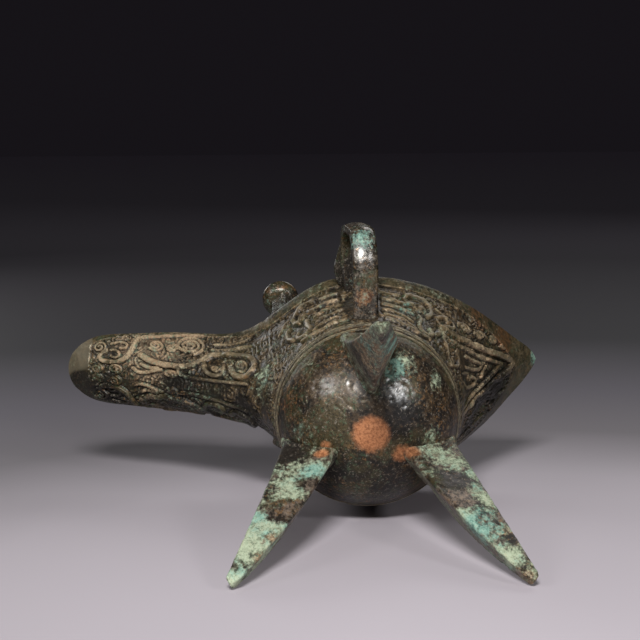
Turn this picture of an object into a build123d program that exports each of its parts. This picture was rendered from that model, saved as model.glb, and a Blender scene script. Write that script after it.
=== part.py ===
from build123d import *
from math import atan2, cos, degrees, pi, radians, sin
import os

# Bronze jue: a three-legged wine vessel with a spout, a pointed tail, two posts and one handle.
# It is modelled standing, with the cup's axis on Z, the spout at +X and the handle at +Y,
# and is laid on its side at the end, as it was photographed. Lengths are in millimetres.

# Cup
ring_radius = 30.4          # outside of the belly at the string lines
ring_height = 96.0          # string lines above the feet
bowl_depth = 27.0           # from the string lines down to the lowest point of the bowl
wall = 2.4                  # wall thickness
floor_wall = 3.0            # thickness at the bottom of the bowl
string_radius = 0.6         # half-round raised lines
string_pitch = 2.6          # from one raised line to the next
string_count = 3
collar_height = 3.0         # spigot of the bowl that enters the band
plug_radius = 5.6           # copper plug in the bottom of the bowl

# Mouth
mouth_half_width = 37.0
band_height = 43.5          # lowest point of the rim above the string lines
mouth_middle = 3.0          # where along X the rim is lowest
flare = 1.7                 # how late the wall turns outward on its way up
spout_reach = 106.5
spout_half_width = 13.2
spout_rise = 27.0           # rim at the spout's tip above its lowest point
tail_reach = 66.5
tail_rise = 35.5            # rim at the tail's tip above its lowest point
spout_joint = 34.0          # seam between band and spout
tail_joint = 34.0           # seam between band and tail
skin_levels = 8             # horizontal sections of the lofted wall
rim_spare = 5.0             # lofted wall over the rim's highest point, and how far the rim's cut overruns it

# Legs
foot_radius = 48.8          # from the axis to the middle of a foot
foot_depth = 5.2            # radial
foot_half_width = 2.7
leg_sink = 2.0              # top of a leg below the string lines, before it is trimmed to the bowl
leg_ridge = 7.5             # inner ridge, from the axis, at the top
leg_back = 27.2             # outer face, from the axis, at the top
leg_half_width = 8.9
leg_bow = 7.0               # how far the inner ridge bows toward the axis halfway down
leg_sweep = 3.5             # how far the outer face bows toward the axis halfway down
leg_swell = 2.0             # how far each side bows out halfway down
leg_bearings = {"handle_side": 90, "spout_side": -30, "tail_side": 210}
leg_tenon_radius = 3.0
leg_tenon_place = 23.0      # from the axis

# Handle
strap_width = 7.8
strap_thickness = 3.4
handle_low = 10.0           # middle of the lower arm above the string lines
handle_high = 38.0          # middle of the upper arm above the string lines
handle_reach = 59.6         # outside of the loop, from the axis
handle_corner = 11.0        # outer bend radius
handle_skew = 7.0           # degrees that the loop is turned, as cast
handle_shift = 1.8          # toward the spout
handle_tenon_radius = 1.6
head_width = 13.0
head_pin_radius = 1.1
head_height = 8.0
head_length = 17.0

# Posts
post_width = 6.2
post_depth = 5.4
post_grip = 5.0             # how far the forked foot reaches down over the rim
post_height = 29.3          # top of a post above the rim
cap_radius = 6.8
cap_height = 11.0
pin_radius = 1.7
pin_length = 4.0

# Fits
seat_gap = 0.05             # round a tenon, pin or spigot, and where a foot straddles the rim

# Heights above the feet
mouth_height = ring_height + band_height
skin_top = band_height + max(spout_rise, tail_rise) + rim_spare
leg_top = ring_height - leg_sink
arm_low = ring_height + handle_low
arm_high = ring_height + handle_high

# Half of the rim seen from above, from the tail's tip to the spout's tip: X, Y and the bearing
# on the belly that each place grows out of.
rim_half = [
    (-tail_reach, 0.0, 180.0),
    (-0.74 * tail_reach, 0.46 * mouth_half_width, 158.0),
    (-0.43 * tail_reach, 0.81 * mouth_half_width, 134.0),
    (-0.09 * tail_reach, 0.99 * mouth_half_width, 104.0),
    (0.12 * spout_reach, 0.945 * mouth_half_width, 72.0),
    (0.275 * spout_reach, 0.64 * mouth_half_width, 45.0),
    (0.40 * spout_reach, 1.15 * spout_half_width, 30.0),
    (0.58 * spout_reach, 1.04 * spout_half_width, 20.0),
    (0.80 * spout_reach, spout_half_width, 12.5),
    (0.92 * spout_reach, 0.86 * spout_half_width, 8.0),
    (0.98 * spout_reach, 0.48 * spout_half_width, 4.0),
    (spout_reach, 0.0, 0.0),
]


def rim_height(x):
    """Height of the rim, which climbs from the middle to both tips."""
    if x >= mouth_middle:
        share = min((x - mouth_middle) / (spout_reach - mouth_middle), 1.0)
        return mouth_height + spout_rise * sin(share * pi / 2) ** 1.4
    share = (mouth_middle - x) / (tail_reach + mouth_middle)
    return mouth_height + tail_rise * share**2


def skin_point(place, height):
    """Where the outer skin stands at a height, on the line from the belly to one rim place."""
    x, y, bearing = place
    share = max(height - ring_height, 0.0) / (rim_height(x) - ring_height)
    start = Vector(ring_radius * cos(radians(bearing)), ring_radius * sin(radians(bearing)))
    return start + (Vector(x, y) - start) * share**flare


def skin_section(height, inset, lift):
    """Closed outline of the wall at a height, moved inward by inset and up by lift."""
    half = [skin_point(place, height - lift) for place in rim_half]
    moved = [half[0] + Vector(1.5 * inset, 0)]
    for before, here, after in zip(half, half[1:], half[2:]):
        along = (after - before).normalized()
        moved.append(here + Vector(along.Y, -along.X) * inset)
    moved.append(half[-1] - Vector(inset, 0))
    mirrored = [Vector(p.X, -p.Y) for p in reversed(moved[1:-1])]
    outline = Spline(*[Vector(p.X, p.Y, height) for p in moved + mirrored + moved[:1]])
    return Face(Wire([outline]))


def skin_body(inset, lift):
    """Solid inside the wall's outer skin, or inside its inner skin when inset."""
    step = skin_top / (skin_levels - 1)
    sections = [skin_section(ring_height + i * step, inset, lift) for i in range(skin_levels)]
    return loft(sections)


def above_rim():
    """Everything over the rim line, as one block to cut away."""
    top = ring_height + skin_top
    start = skin_point(rim_half[0], top).X - rim_spare
    end = skin_point(rim_half[-1], top).X + rim_spare
    count = 14
    line = [start + (end - start) * i / count for i in range(count + 1)]
    curve = Spline(*[(x, 0, rim_height(x)) for x in line])
    lid = top + rim_spare
    sides = Polyline(curve @ 1, (end, 0, lid), (start, 0, lid), curve @ 0)
    return extrude(Face(Wire([curve, *sides.edges()])), 3 * mouth_half_width, dir=(0, 1, 0), both=True)


def bowl_profile(radius, depth):
    """Half of the bowl's section, closed at the string lines."""
    curve = EllipticalCenterArc((0, ring_height), radius, depth, start_angle=-90, arc_size=90)
    axis = Line((0, ring_height), (0, ring_height - depth))
    lid = Line((radius, ring_height), (0, ring_height))
    return make_face([curve, axis, lid])


def spun(profile):
    """A section turned once round the vessel's axis."""
    return revolve(Plane.XZ * profile, Axis.Z)


def column(radius):
    """Section of an upright cylinder that is longer than the bowl is deep."""
    return Pos(radius / 2, ring_height - bowl_depth) * Rectangle(radius, bowl_depth)


def string_lines():
    """Raised lines round the belly, from the seam downward."""
    lines = []
    for i in range(string_count):
        height = ring_height - string_radius - i * string_pitch
        fall = (ring_height - height) / bowl_depth
        radius = ring_radius * (1 - fall**2) ** 0.5
        lines.append(Pos(0, 0, height) * Torus(radius, string_radius))
    return lines


def leg_section(height, ridge, back, half_width, rounding):
    """Three-sided section of a leg at bearing 0, ridge toward the axis."""
    corners = Polyline((ridge, 0), (back, half_width), (back, -half_width), close=True)
    face = make_face(corners)
    return Pos(0, 0, height) * fillet(face.vertices(), rounding)


def leg_body():
    """One leg at bearing 0, from its foot to inside the bowl."""
    toe = foot_radius - foot_depth / 2
    heel = foot_radius + foot_depth / 2
    foot = leg_section(0, toe, heel, foot_half_width, 0.9)
    middle = leg_section(
        leg_top / 2,
        (toe + leg_ridge) / 2 - leg_bow,
        (heel + leg_back) / 2 - leg_sweep,
        (foot_half_width + leg_half_width) / 2 + leg_swell,
        1.1,
    )
    top = leg_section(leg_top, leg_ridge, leg_back, leg_half_width, 1.3)
    return loft([foot, middle, top])


def leg_tenon(radius):
    """Upright pin at bearing 0 that joins a leg to the bowl's wall."""
    return Pos(leg_tenon_place, 0, ring_height - bowl_depth / 2) * Cylinder(radius, bowl_depth)


def handle_block(margin):
    """Side view of the loop's outline, shrunk by margin, from inside the cup to the loop's bend."""
    start = ring_radius / 2
    height = arm_high - arm_low + strap_thickness - 2 * margin
    length = handle_reach - start - 2 * margin
    middle = Pos((start + handle_reach) / 2, (arm_low + arm_high) / 2)
    return middle * RectangleRounded(length, height, handle_corner - margin)


def across(sketch, width):
    """A side view in the plane of the handle, thickened along X and turned by the skew."""
    return turned(extrude(Plane.YZ * sketch, width / 2, both=True))


def turned(solid):
    """The handle's shift and its skew about a line straight out of the wall."""
    middle = (arm_low + arm_high) / 2
    return Pos(handle_shift, 0, middle) * Rot(0, handle_skew, 0) * Pos(0, 0, -middle) * solid


def handle_tenons(radius):
    """Pins of the two arms, through the band's wall."""
    pin = Rot(90, 0, 0) * Cylinder(radius, ring_radius / 2)
    return [turned(Pos(0, ring_radius, height) * pin) for height in (arm_low, arm_high)]


def head_pin(radius):
    """Pin of the beast head, down through the upper arm."""
    middle = handle_reach - 0.75 * head_length
    return turned(Pos(0, middle, arm_high) * Cylinder(radius, strap_thickness))


def head_body():
    """Beast head on the upper arm: skull and muzzle in one block, two eyes and two coiled horns."""
    arm_top = arm_high + strap_thickness / 2
    nape = handle_reach - head_length
    nose = handle_reach + 0.04 * head_height
    profile = Polyline(
        (nape, arm_high),
        (nape, arm_top + 0.8 * head_height),
        (nape + 0.25 * head_length, arm_top + head_height),
        (nape + 0.55 * head_length, arm_top + 0.75 * head_height),
        (nose, arm_top - 0.1 * head_height),
        (nose, arm_high - 0.6 * head_height),
        close=True,
    )
    block = extrude(Plane.YZ * make_face(profile), 0.34 * head_width, both=True)
    block = fillet(block.edges(), 0.08 * head_width)
    coil = 0.3 * head_height
    horn = Rot(0, 90, 0) * Torus(coil, 0.45 * coil)
    eye = Sphere(0.16 * head_height)
    extras = []
    for side in (-1, 1):
        temple = side * (head_width / 2 - 0.45 * coil)
        extras.append(turned(Pos(temple, nape + 1.5 * coil, arm_top + 0.62 * head_height) * horn))
        cheek = side * 0.34 * head_width
        extras.append(turned(Pos(cheek, nape + 0.62 * head_length, arm_top + 0.34 * head_height) * eye))
    return turned(block) + extras


def post_frame(side):
    """Where a post stands: over the middle of the wall, turned along the rim."""
    x, y, _ = rim_half[5]
    along = degrees(atan2(rim_half[6][1] - rim_half[4][1], rim_half[6][0] - rim_half[4][0]))
    return Pos(x - wall / 3, side * (y - wall / 3), 0) * Rot(0, 0, side * along)


def post_top():
    """Height of a post's flat top, where the cap sits."""
    return rim_height(rim_half[5][0]) + post_height


def post_stem():
    """Plain stem from below the rim, with a pin on top."""
    height = post_grip + post_height
    stem = Pos(0, 0, post_top() - height / 2) * Box(post_width, post_depth, height)
    pin = Pos(0, 0, post_top() + pin_length / 2) * Cylinder(pin_radius, pin_length)
    return fillet(stem.edges().filter_by(Axis.Z), 0.24 * post_depth) + pin


def post_cap():
    """Mushroom cap with a waist groove and a socket for the pin."""
    lip = (0.62 * cap_radius, 0)
    shoulder = (0.9 * cap_radius, 0.44 * cap_height)
    groove = (0.76 * cap_radius, 0.52 * cap_height)
    profile = [
        Line((0, 0), lip),
        ThreePointArc(lip, (cap_radius, 0.22 * cap_height), shoulder),
        Line(shoulder, groove),
        ThreePointArc((0, cap_height), (0.55 * cap_radius, 0.82 * cap_height), groove),
        Line((0, cap_height), (0, 0)),
    ]
    depth = pin_length + seat_gap
    socket = Pos(0, 0, depth / 2) * Cylinder(pin_radius + seat_gap, depth)
    return Pos(0, 0, post_top()) * (spun(make_face(profile)) - socket)


def lying(tilt):
    """Turns the standing vessel onto its far side: spout to -X, handle up, mouth to +Y and tilted up."""
    return Rot(tilt, 0, 0) * Plane((0, 0, 0), x_dir=(-1, 0, 0), z_dir=(0, 1, 0)).location


def lowest(solid, place):
    """Lowest point of a solid once it is placed."""
    return (place * solid).bounding_box().min.Z


# Shared forms
outer_bowl = bowl_profile(ring_radius, bowl_depth)
bowl_wall = outer_bowl - bowl_profile(ring_radius - wall, bowl_depth - floor_wall)
outer_skin = skin_body(0.0, 0.0)
shell = outer_skin - skin_body(wall, 0.6 * wall) - above_rim()
nodes = {}

# Cup, spout and tail
nodes["base_plug"] = spun(bowl_wall & column(plug_radius))
collar_radius = ring_radius - 0.55 * wall
collar_length = collar_height + wall
collar = Pos(0, 0, ring_height + collar_height - collar_length / 2) * (
    Cylinder(collar_radius, collar_length) - Cylinder(ring_radius - wall, collar_length)
)
leg_holes = [Rot(0, 0, bearing) * leg_tenon(leg_tenon_radius + seat_gap) for bearing in leg_bearings.values()]
nodes["bowl"] = spun(bowl_wall - column(plug_radius + seat_gap)) + string_lines() + collar - leg_holes
recess_height = collar_height + seat_gap
recess = Pos(0, 0, ring_height + recess_height / 2) * Cylinder(collar_radius + seat_gap, recess_height)
seated = shell - recess - handle_tenons(handle_tenon_radius + seat_gap)
spout_seam = Plane.YZ.offset(spout_joint)
tail_seam = Plane.YZ.offset(-tail_joint)
nodes["spout"] = split(seated, bisect_by=spout_seam, keep=Keep.TOP)
rest = split(seated, bisect_by=spout_seam, keep=Keep.BOTTOM)
nodes["belly_band"] = split(rest, bisect_by=tail_seam, keep=Keep.TOP)
nodes["tail"] = split(rest, bisect_by=tail_seam, keep=Keep.BOTTOM)

# Legs
leg = leg_body() - spun(outer_bowl) + (leg_tenon(leg_tenon_radius) & spun(bowl_wall))
for name, bearing in leg_bearings.items():
    nodes[f"leg_{name}"] = Rot(0, 0, bearing) * leg

# Handle
strap = across(handle_block(0) - handle_block(strap_thickness), strap_width) - outer_skin
arm_pins = [pin & shell for pin in handle_tenons(handle_tenon_radius)]
nodes["handle_strap"] = strap + arm_pins - head_pin(head_pin_radius + seat_gap)
nodes["handle_head"] = head_body() - across(handle_block(0), 2 * head_width) + head_pin(head_pin_radius)

# Posts
for name, side in (("handle_side", 1), ("far_side", -1)):
    nodes[f"post_{name}"] = post_frame(side) * post_stem() - shell
    nodes[f"cap_{name}"] = post_frame(side) * post_cap()

# Laid on two feet and the rim, with the origin under the middle
tilt = 0.0
for _ in range(3):
    drop = lowest(nodes["leg_spout_side"], lying(tilt)) - lowest(nodes["belly_band"], lying(tilt))
    tilt += degrees(atan2(drop, mouth_height))
laid = Compound([lying(tilt) * solid for solid in nodes.values()]).bounding_box()
place = Pos(-laid.center().X, -laid.center().Y, -laid.min.Z) * lying(tilt)

os.makedirs("parts", exist_ok=True)
for name, solid in nodes.items():
    export_step(place * solid, f"parts/{name}.step")
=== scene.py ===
import bpy
import bmesh
import math
import random
import numpy as np
from mathutils import Matrix, Vector, kdtree, noise


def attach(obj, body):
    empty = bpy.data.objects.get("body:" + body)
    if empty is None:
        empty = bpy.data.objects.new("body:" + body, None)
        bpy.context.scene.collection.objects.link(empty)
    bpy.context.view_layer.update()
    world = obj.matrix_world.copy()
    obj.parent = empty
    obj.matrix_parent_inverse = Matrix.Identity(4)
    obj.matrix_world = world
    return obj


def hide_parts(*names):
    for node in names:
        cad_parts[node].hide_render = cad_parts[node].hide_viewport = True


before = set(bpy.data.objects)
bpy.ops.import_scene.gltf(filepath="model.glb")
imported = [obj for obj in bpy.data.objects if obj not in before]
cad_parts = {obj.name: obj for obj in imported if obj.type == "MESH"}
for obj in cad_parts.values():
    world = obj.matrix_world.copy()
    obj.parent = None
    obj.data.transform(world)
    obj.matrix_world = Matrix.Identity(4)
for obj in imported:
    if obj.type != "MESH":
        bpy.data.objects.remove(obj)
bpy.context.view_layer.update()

# Bronze jue lying on its side. Shapes are worked out on the standing vessel in millimetres, with the
# cup's axis on Z, the spout at +X and the handle at +Y, and are laid down by lay().

# Cup and mouth
RING_RADIUS = 30.4
RING_HEIGHT = 96.0
BOWL_DEPTH = 27.0
WALL = 2.4
FLOOR_WALL = 3.0
INNER_RADIUS = RING_RADIUS - WALL
INNER_DEPTH = BOWL_DEPTH - FLOOR_WALL
STRING_LINES = 3
STRING_RADIUS = 0.6
STRING_PITCH = 2.6
COLLAR_RADIUS = 29.08
COLLAR_HEIGHT = 3.0
PLUG_RADIUS = 5.6
GAP = 0.05                  # clearance between pieces that fit into each other
BOWL_SKIN = 0.93            # places beyond this reach, see bowl_reach(), are on the bowl's outside
HALF_WIDTH = 37.0
BAND_HEIGHT = 43.5
MIDDLE = 3.0
FLARE = 1.7
SPOUT_REACH = 106.5
SPOUT_HALF = 13.2
SPOUT_RISE = 27.0
SPOUT_CURVE = 1.4           # how late the spout's rim starts to climb
TAIL_REACH = 66.5
TAIL_RISE = 35.5
JOINT = 34.0
TIP_WEAR = 0.06             # the spout's tip is worn this much shorter
PLAIN_TIP = 98.3            # the spout is smooth beyond this
KEEL = 1.5                  # height of the keel line at the spout's tip
KEEL_HALF = 8.0             # its half width
KEEL_SPAN = (84, 98)        # it rises between these
TAIL_TIP_WALL = 1.5         # the wall is this many times thicker through the tail's point
TAIL_BLUNT = 5.0            # how round the tail's point is
BLUNT_REACH = 8.0           # and how far from the point
POINT_OFFSET = 0.05         # keeps the widening finite at the point itself
LIP_OUT = 1.5               # how far the plain rim turns outward
LIP_START = 0.84            # share of the wall's height where the turn starts
LIP_CURVE = 1.6             # how late it turns
LIP_SPOUT_FADE = (45, 104)  # it dies away between these X toward the spout's tip
LIP_TAIL_FADE = (15, 60)    # and between these toward the tail's tip
LIP_FLOOR_FADE = (-12, 12)  # it grows between these Y, from the side that lies on the floor
LIP_SPOUT_ROOT = (38, 52)   # but from here on the spout has it on both sides
LIP_BULGE = 0.35            # how far the rim's edge is rounded up
RIM_MARGIN = 3.4            # plain strip under the rim
SPOUT_MARGIN = 1.5          # the same on the spout
MARGIN_SPAN = (36, 52)      # one goes over into the other between these
SEAM_FADE = 2.5             # ornament stands square to the seams within this
GROUND_SINK = 0.5           # the ground of the ornament lies this deep
CAST_LOSS = 0.17            # the whole wall is worn this much
RIM_SAMPLES = 1601

# Legs
FOOT_RADIUS = 48.8
FOOT_DEPTH = 5.2
FOOT_HALF = 2.7
LEG_TOP = 94.0
LEG_RIDGE = 7.5
LEG_BACK = 27.2
LEG_HALF = 8.9
LEG_BOW = 7.0
LEG_SWEEP = 3.5
LEG_SWELL = 2.0
FOOT_ROUND = 2.6            # a foot is rounded over this height
FOOT_TIP = 0.06             # and has this share of its width at the end
LEG_EDGES = (0.9, 1.1, 1.3)  # how round a leg's edges are at foot, middle and top
LEG_COVE = 1.3              # how far a leg swells where it meets the bowl
LEG_ROOT = 0.955            # a leg ends at this reach, within the bowl's wall
LEG_BEARINGS = {"handle_side": 90, "spout_side": -30, "tail_side": 210}

# Handle
STRAP_WIDTH = 7.8
STRAP_THICK = 3.4
ARM_LOW = 106.0
ARM_HIGH = 134.0
HANDLE_REACH = 59.6
HANDLE_CORNER = 11.0
LOW_BEND = 15.5             # the lower arm bends over this length
LOWER_ROOT = 30.2           # where the visible arms start, from the cup's axis
UPPER_ROOT = 34.4
ROOT_HALF = 3.0             # half width of the upper arm where it enters the wall
ROOT_TAPER = 45.0           # and where it has its full width
STRAP_SWELL = 0.35          # how much wider the worn strap is to each side
STRAP_CROWN = 1.1           # how far its outer face falls off to the edges
STRAP_EDGE = 0.9            # how round its edges are
HANDLE_SKEW = 7.0
HANDLE_SHIFT = 1.8
HEAD_BACK = 35.6            # where the head starts and ends, from the cup's axis
HEAD_FRONT = 57.0
FACE_WIDTH = 11.8
BROW_HEIGHT = 7.2

# Features of the head: place on a unit ball, on one side, and reach
HEAD_EYE = ((0.60, 0.22, 0.70), 0.17)
HEAD_HORN = ((0.72, -0.42, 0.55), 0.34)
HEAD_NOSTRIL = ((0.30, 0.90, 0.32), 0.13)

# Posts
POST_WIDTH = 6.2
POST_DEPTH = 4.6
POST_SEAT = 1.6             # how far the visible stem reaches below the rim
POST_HEIGHT = 29.3
POST_WAIST = 0.06           # share of its width that a post loses halfway up
POST_EDGE = 1.3             # how round its edges are
POST_POINT = 5              # point of RIM_HALF that a post stands on
CAP_RADIUS = 6.8
CAP_HEIGHT = 11.0

# Lying pose of the part's frame
LIE_TILT = math.radians(4.7711)
LIE_SHIFT = (19.943, -91.983, 27.123)
MM = 0.001
MIRROR = (1, -1, 1)         # to the far side of the standing vessel
LEVEL = (1, 1, 0)           # without the part along the cup's axis

# Relief marks, which tell the finish what a place is
GROUND = 0.15               # the ornament's ground, down to 0 in the groove beside a ribbon
LINE = 0.30                 # a line of the ground scrolls
EYE = 0.6                   # an eye of the mask
RIBBON = 0.7                # the ridge of a ribbon
PLAIN = 0.9                 # a surface without ornament
RIM = 1.0                   # the plain rim
SMOOTH = 1.2                # the worn tip of the spout
STRING = 1.6                # the string lines

CREASE = 1.2                # edges sharper than this, in radians, shade sharp

# Half of the rim from above, tail tip to spout tip: X, Y and the bearing on the belly it grows from
RIM_HALF = [
    (-TAIL_REACH, 0.0, 180.0),
    (-0.74 * TAIL_REACH, 0.46 * HALF_WIDTH, 158.0),
    (-0.43 * TAIL_REACH, 0.81 * HALF_WIDTH, 134.0),
    (-0.09 * TAIL_REACH, 0.99 * HALF_WIDTH, 104.0),
    (0.12 * SPOUT_REACH, 0.945 * HALF_WIDTH, 72.0),
    (0.275 * SPOUT_REACH, 0.64 * HALF_WIDTH, 45.0),
    (0.40 * SPOUT_REACH, 1.15 * SPOUT_HALF, 30.0),
    (0.58 * SPOUT_REACH, 1.04 * SPOUT_HALF, 20.0),
    (0.80 * SPOUT_REACH, SPOUT_HALF, 12.5),
    (0.92 * SPOUT_REACH, 0.86 * SPOUT_HALF, 8.0),
    (0.98 * SPOUT_REACH, 0.48 * SPOUT_HALF, 4.0),
    (SPOUT_REACH, 0.0, 0.0),
]


def lay(places):
    """Places on the standing vessel, in millimetres, to the lying part's frame in metres."""
    p = np.asarray(places, float)
    x, y, z = p[..., 0], p[..., 1], p[..., 2]
    c, s = math.cos(LIE_TILT), math.sin(LIE_TILT)
    laid = (LIE_SHIFT[0] - x, LIE_SHIFT[1] + c * z - s * y, LIE_SHIFT[2] + c * y + s * z)
    return np.stack(laid, -1) * MM


def ease(low, high, value):
    """Smooth step from 0 at low to 1 at high."""
    t = np.clip((np.asarray(value, float) - low) / (high - low), 0, 1)
    return t * t * (3 - 2 * t)


def grain(places, size, seed):
    """Soft noise about 0, with features of a given size in millimetres."""
    shift = Vector((seed, 1.7 * seed, -seed))
    flat = np.asarray(places, float).reshape(-1, 3) / size
    values = [noise.noise(Vector(p) + shift) for p in flat]
    return np.array(values).reshape(np.shape(places)[:-1])


def bumps(places, size, seed):
    """Soft noise from 0 to 1."""
    return 0.5 + 0.5 * grain(places, size, seed)


def pits(places, size, edge, seed):
    """Scattered pits, 0 where the noise stays below an edge."""
    return np.clip(grain(places, size, seed) - edge, 0, 1)


def dome(away):
    """Round boss, 1 in its middle and 0 from a distance of 1 on."""
    return np.sqrt(np.clip(1 - away**2, 0, 1))


def soft_ridge(away, at, half):
    """Ridge at a distance, with soft sides."""
    return np.exp(-(((away - at) / half) ** 2))


def unit(vectors):
    """Vectors scaled to length 1."""
    return vectors / np.maximum(np.linalg.norm(vectors, axis=-1, keepdims=True), 1e-9)


def facing(places, outward):
    """Unit normals of a grid of places, on the side that outward points to."""
    n = unit(np.cross(np.gradient(places, axis=0), np.gradient(places, axis=1)))
    return np.where((n * outward).sum(-1, keepdims=True) < 0, -n, n)


def turned(a, b, angle):
    """A pair of coordinates turned by an angle."""
    c, s = math.cos(angle), math.sin(angle)
    return c * a - s * b, s * a + c * b


def run_along(line):
    """How far along a line each of its places is."""
    steps = np.linalg.norm(np.diff(line, axis=0), axis=1)
    return np.concatenate(([0], np.cumsum(steps)))


# Wall formula

def rim_height(x):
    """Height of the rim, which climbs from the middle to both tips."""
    ahead = np.clip((x - MIDDLE) / (SPOUT_REACH - MIDDLE), 0, 1)
    behind = np.clip((MIDDLE - x) / (TAIL_REACH + MIDDLE), 0, 1)
    climb = SPOUT_RISE * np.sin(ahead * math.pi / 2) ** SPOUT_CURVE + TAIL_RISE * behind**2
    return RING_HEIGHT + BAND_HEIGHT + climb


def smooth_line(points, count):
    """Natural cubic through a few points, as evenly spaced places."""
    p = np.asarray(points, float)
    n = len(p)
    d = np.linalg.norm(np.diff(p[:, :2], axis=0), axis=1)
    a = np.eye(n)
    rhs = np.zeros_like(p)
    for i in range(1, n - 1):
        a[i, i - 1 : i + 2] = d[i - 1], 2 * (d[i - 1] + d[i]), d[i]
        rhs[i] = 6 * ((p[i + 1] - p[i]) / d[i] - (p[i] - p[i - 1]) / d[i - 1])
    bend = np.linalg.solve(a, rhs)
    t = run_along(p[:, :2])
    u = np.linspace(0, t[-1], count)
    k = np.clip(np.searchsorted(t, u, "right") - 1, 0, n - 2)
    h = d[k][:, None]
    f = (t[k + 1] - u)[:, None] / h
    g = 1 - f
    return f * p[k] + g * p[k + 1] + ((f**3 - f) * bend[k] + (g**3 - g) * bend[k + 1]) * h * h / 6


def rim_loop(inset):
    """Rim seen from above and the belly circle below it, tail tip to tail tip by way of the spout."""
    far_half = [(x, -y, -bearing) for x, y, bearing in reversed(RIM_HALF[:-1])]
    line = smooth_line(RIM_HALF + far_half, RIM_SAMPLES)
    along = np.gradient(line[:, :2], axis=0)
    inward = unit(np.stack([along[:, 1], -along[:, 0]], 1))
    rim = line[:, :2] + inward * inset
    rim[0] = rim[-1] = (TAIL_TIP_WALL * inset - TAIL_REACH, 0)
    angle = np.radians(line[:, 2])
    belly = (RING_RADIUS - inset) * np.stack([np.cos(angle), np.sin(angle)], 1)
    return belly, rim, line[:, 2]


LOOPS = {0.0: rim_loop(0.0), WALL: rim_loop(WALL)}


def wall_places(belly, rim, share):
    """Places on the wall, a share of the way up from the belly to the rim."""
    xy = belly + (rim - belly) * (share**FLARE)[..., None]
    z = RING_HEIGHT + share * (rim_height(rim[..., 0]) - RING_HEIGHT)
    return np.concatenate([xy, z[..., None]], -1)


def trough_half(belly, rim, x):
    """Keel to rim along the section at one x."""
    ratio = (x - belly[:, 0]) / (rim[:, 0] - belly[:, 0])
    over = np.nonzero(ratio > 1)[0]
    if len(over):
        k = over[0]
        f = (1 - ratio[k - 1]) / (ratio[k] - ratio[k - 1])
        belly = np.vstack([belly[:k], belly[k - 1] * (1 - f) + belly[k] * f])
        rim = np.vstack([rim[:k], rim[k - 1] * (1 - f) + rim[k] * f])
        ratio = np.append(ratio[:k], 1.0)
    return wall_places(belly, rim, np.clip(ratio, 0, 1) ** (1 / FLARE))


def evenly(places, count):
    """A line of places made evenly spaced."""
    length = run_along(places)
    u = np.linspace(0, length[-1], count)
    return np.stack([np.interp(u, length, places[:, i]) for i in range(3)], 1)


def trough(xs, half_rows, inset):
    """Sections of the spout (x above 0) or tail, far rim to keel to handle-side rim."""
    belly, rim, _ = LOOPS[inset]
    middle = len(rim) // 2
    sections = []
    for x in xs:
        if x > 0:
            half = trough_half(belly[middle::-1], rim[middle::-1], x)
        else:
            half = trough_half(belly[: middle + 1], rim[: middle + 1], x)
        half = evenly(half, half_rows + 1)
        half[0, 1] = 0.0
        far = half[::-1] * MIRROR
        sections.append(np.vstack([far[:-1], half]))
    return np.array(sections)


# Ornament: raised ribbons drawn over a ground of small thunder scrolls

def curve_through(points):
    """Catmull-Rom line through a few points."""
    steps = 8
    p = np.asarray(points, float)
    p = np.vstack([2 * p[0] - p[1], p, 2 * p[-1] - p[-2]])
    t = np.linspace(0, 1, steps, endpoint=False)[:, None]
    pieces = []
    for a, b, c, d in zip(p, p[1:], p[2:], p[3:]):
        bend = 2 * a - 5 * b + 4 * c - d + t * (3 * b - a - 3 * c + d)
        pieces.append(b + 0.5 * t * (c - a + t * bend))
    pieces.append(p[-2:-1])
    return np.vstack(pieces)


def on_trough(points):
    """Spout places for (x, side) pairs, side 0 at the keel and 1 at the rim."""
    half_rows = 40
    places = []
    for x, side in points:
        section = trough([x], half_rows, 0.0)[0]
        row = half_rows + half_rows * side
        k = int(min(max(row, 0), 2 * half_rows - 1))
        places.append(section[k] + (section[k + 1] - section[k]) * (row - k))
    return np.array(places)


def on_band(points):
    """Wall places for (bearing, share) pairs."""
    belly, rim, bearing = LOOPS[0.0]
    places = []
    for angle, share in points:
        angle = angle - 360 if angle > 180 else angle
        k = np.interp(-angle, -bearing, np.arange(len(bearing)))
        i = int(min(k, len(bearing) - 2))
        f = k - i
        b = belly[i] * (1 - f) + belly[i + 1] * f
        r = rim[i] * (1 - f) + rim[i + 1] * f
        places.append(wall_places(b, r, np.array(share)))
    return np.array(places)


def scroll(centre, size, turns, spin):
    """Points of a spiral about a centre, in the pair's own units."""
    per_turn, first_reach, first_angle = 10, 0.18, 0.6
    points = []
    for i in range(int(per_turn * turns) + 1):
        t = i / (per_turn * turns)
        angle = spin * (2 * math.pi * turns * t + first_angle)
        reach = first_reach + (1 - first_reach) * t
        across, along = size[0] * reach * math.cos(angle), size[1] * reach * math.sin(angle)
        points.append((centre[0] + across, centre[1] + along))
    return points


RIBBON_STEP = 0.3           # places on a ribbon are this far apart

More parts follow.
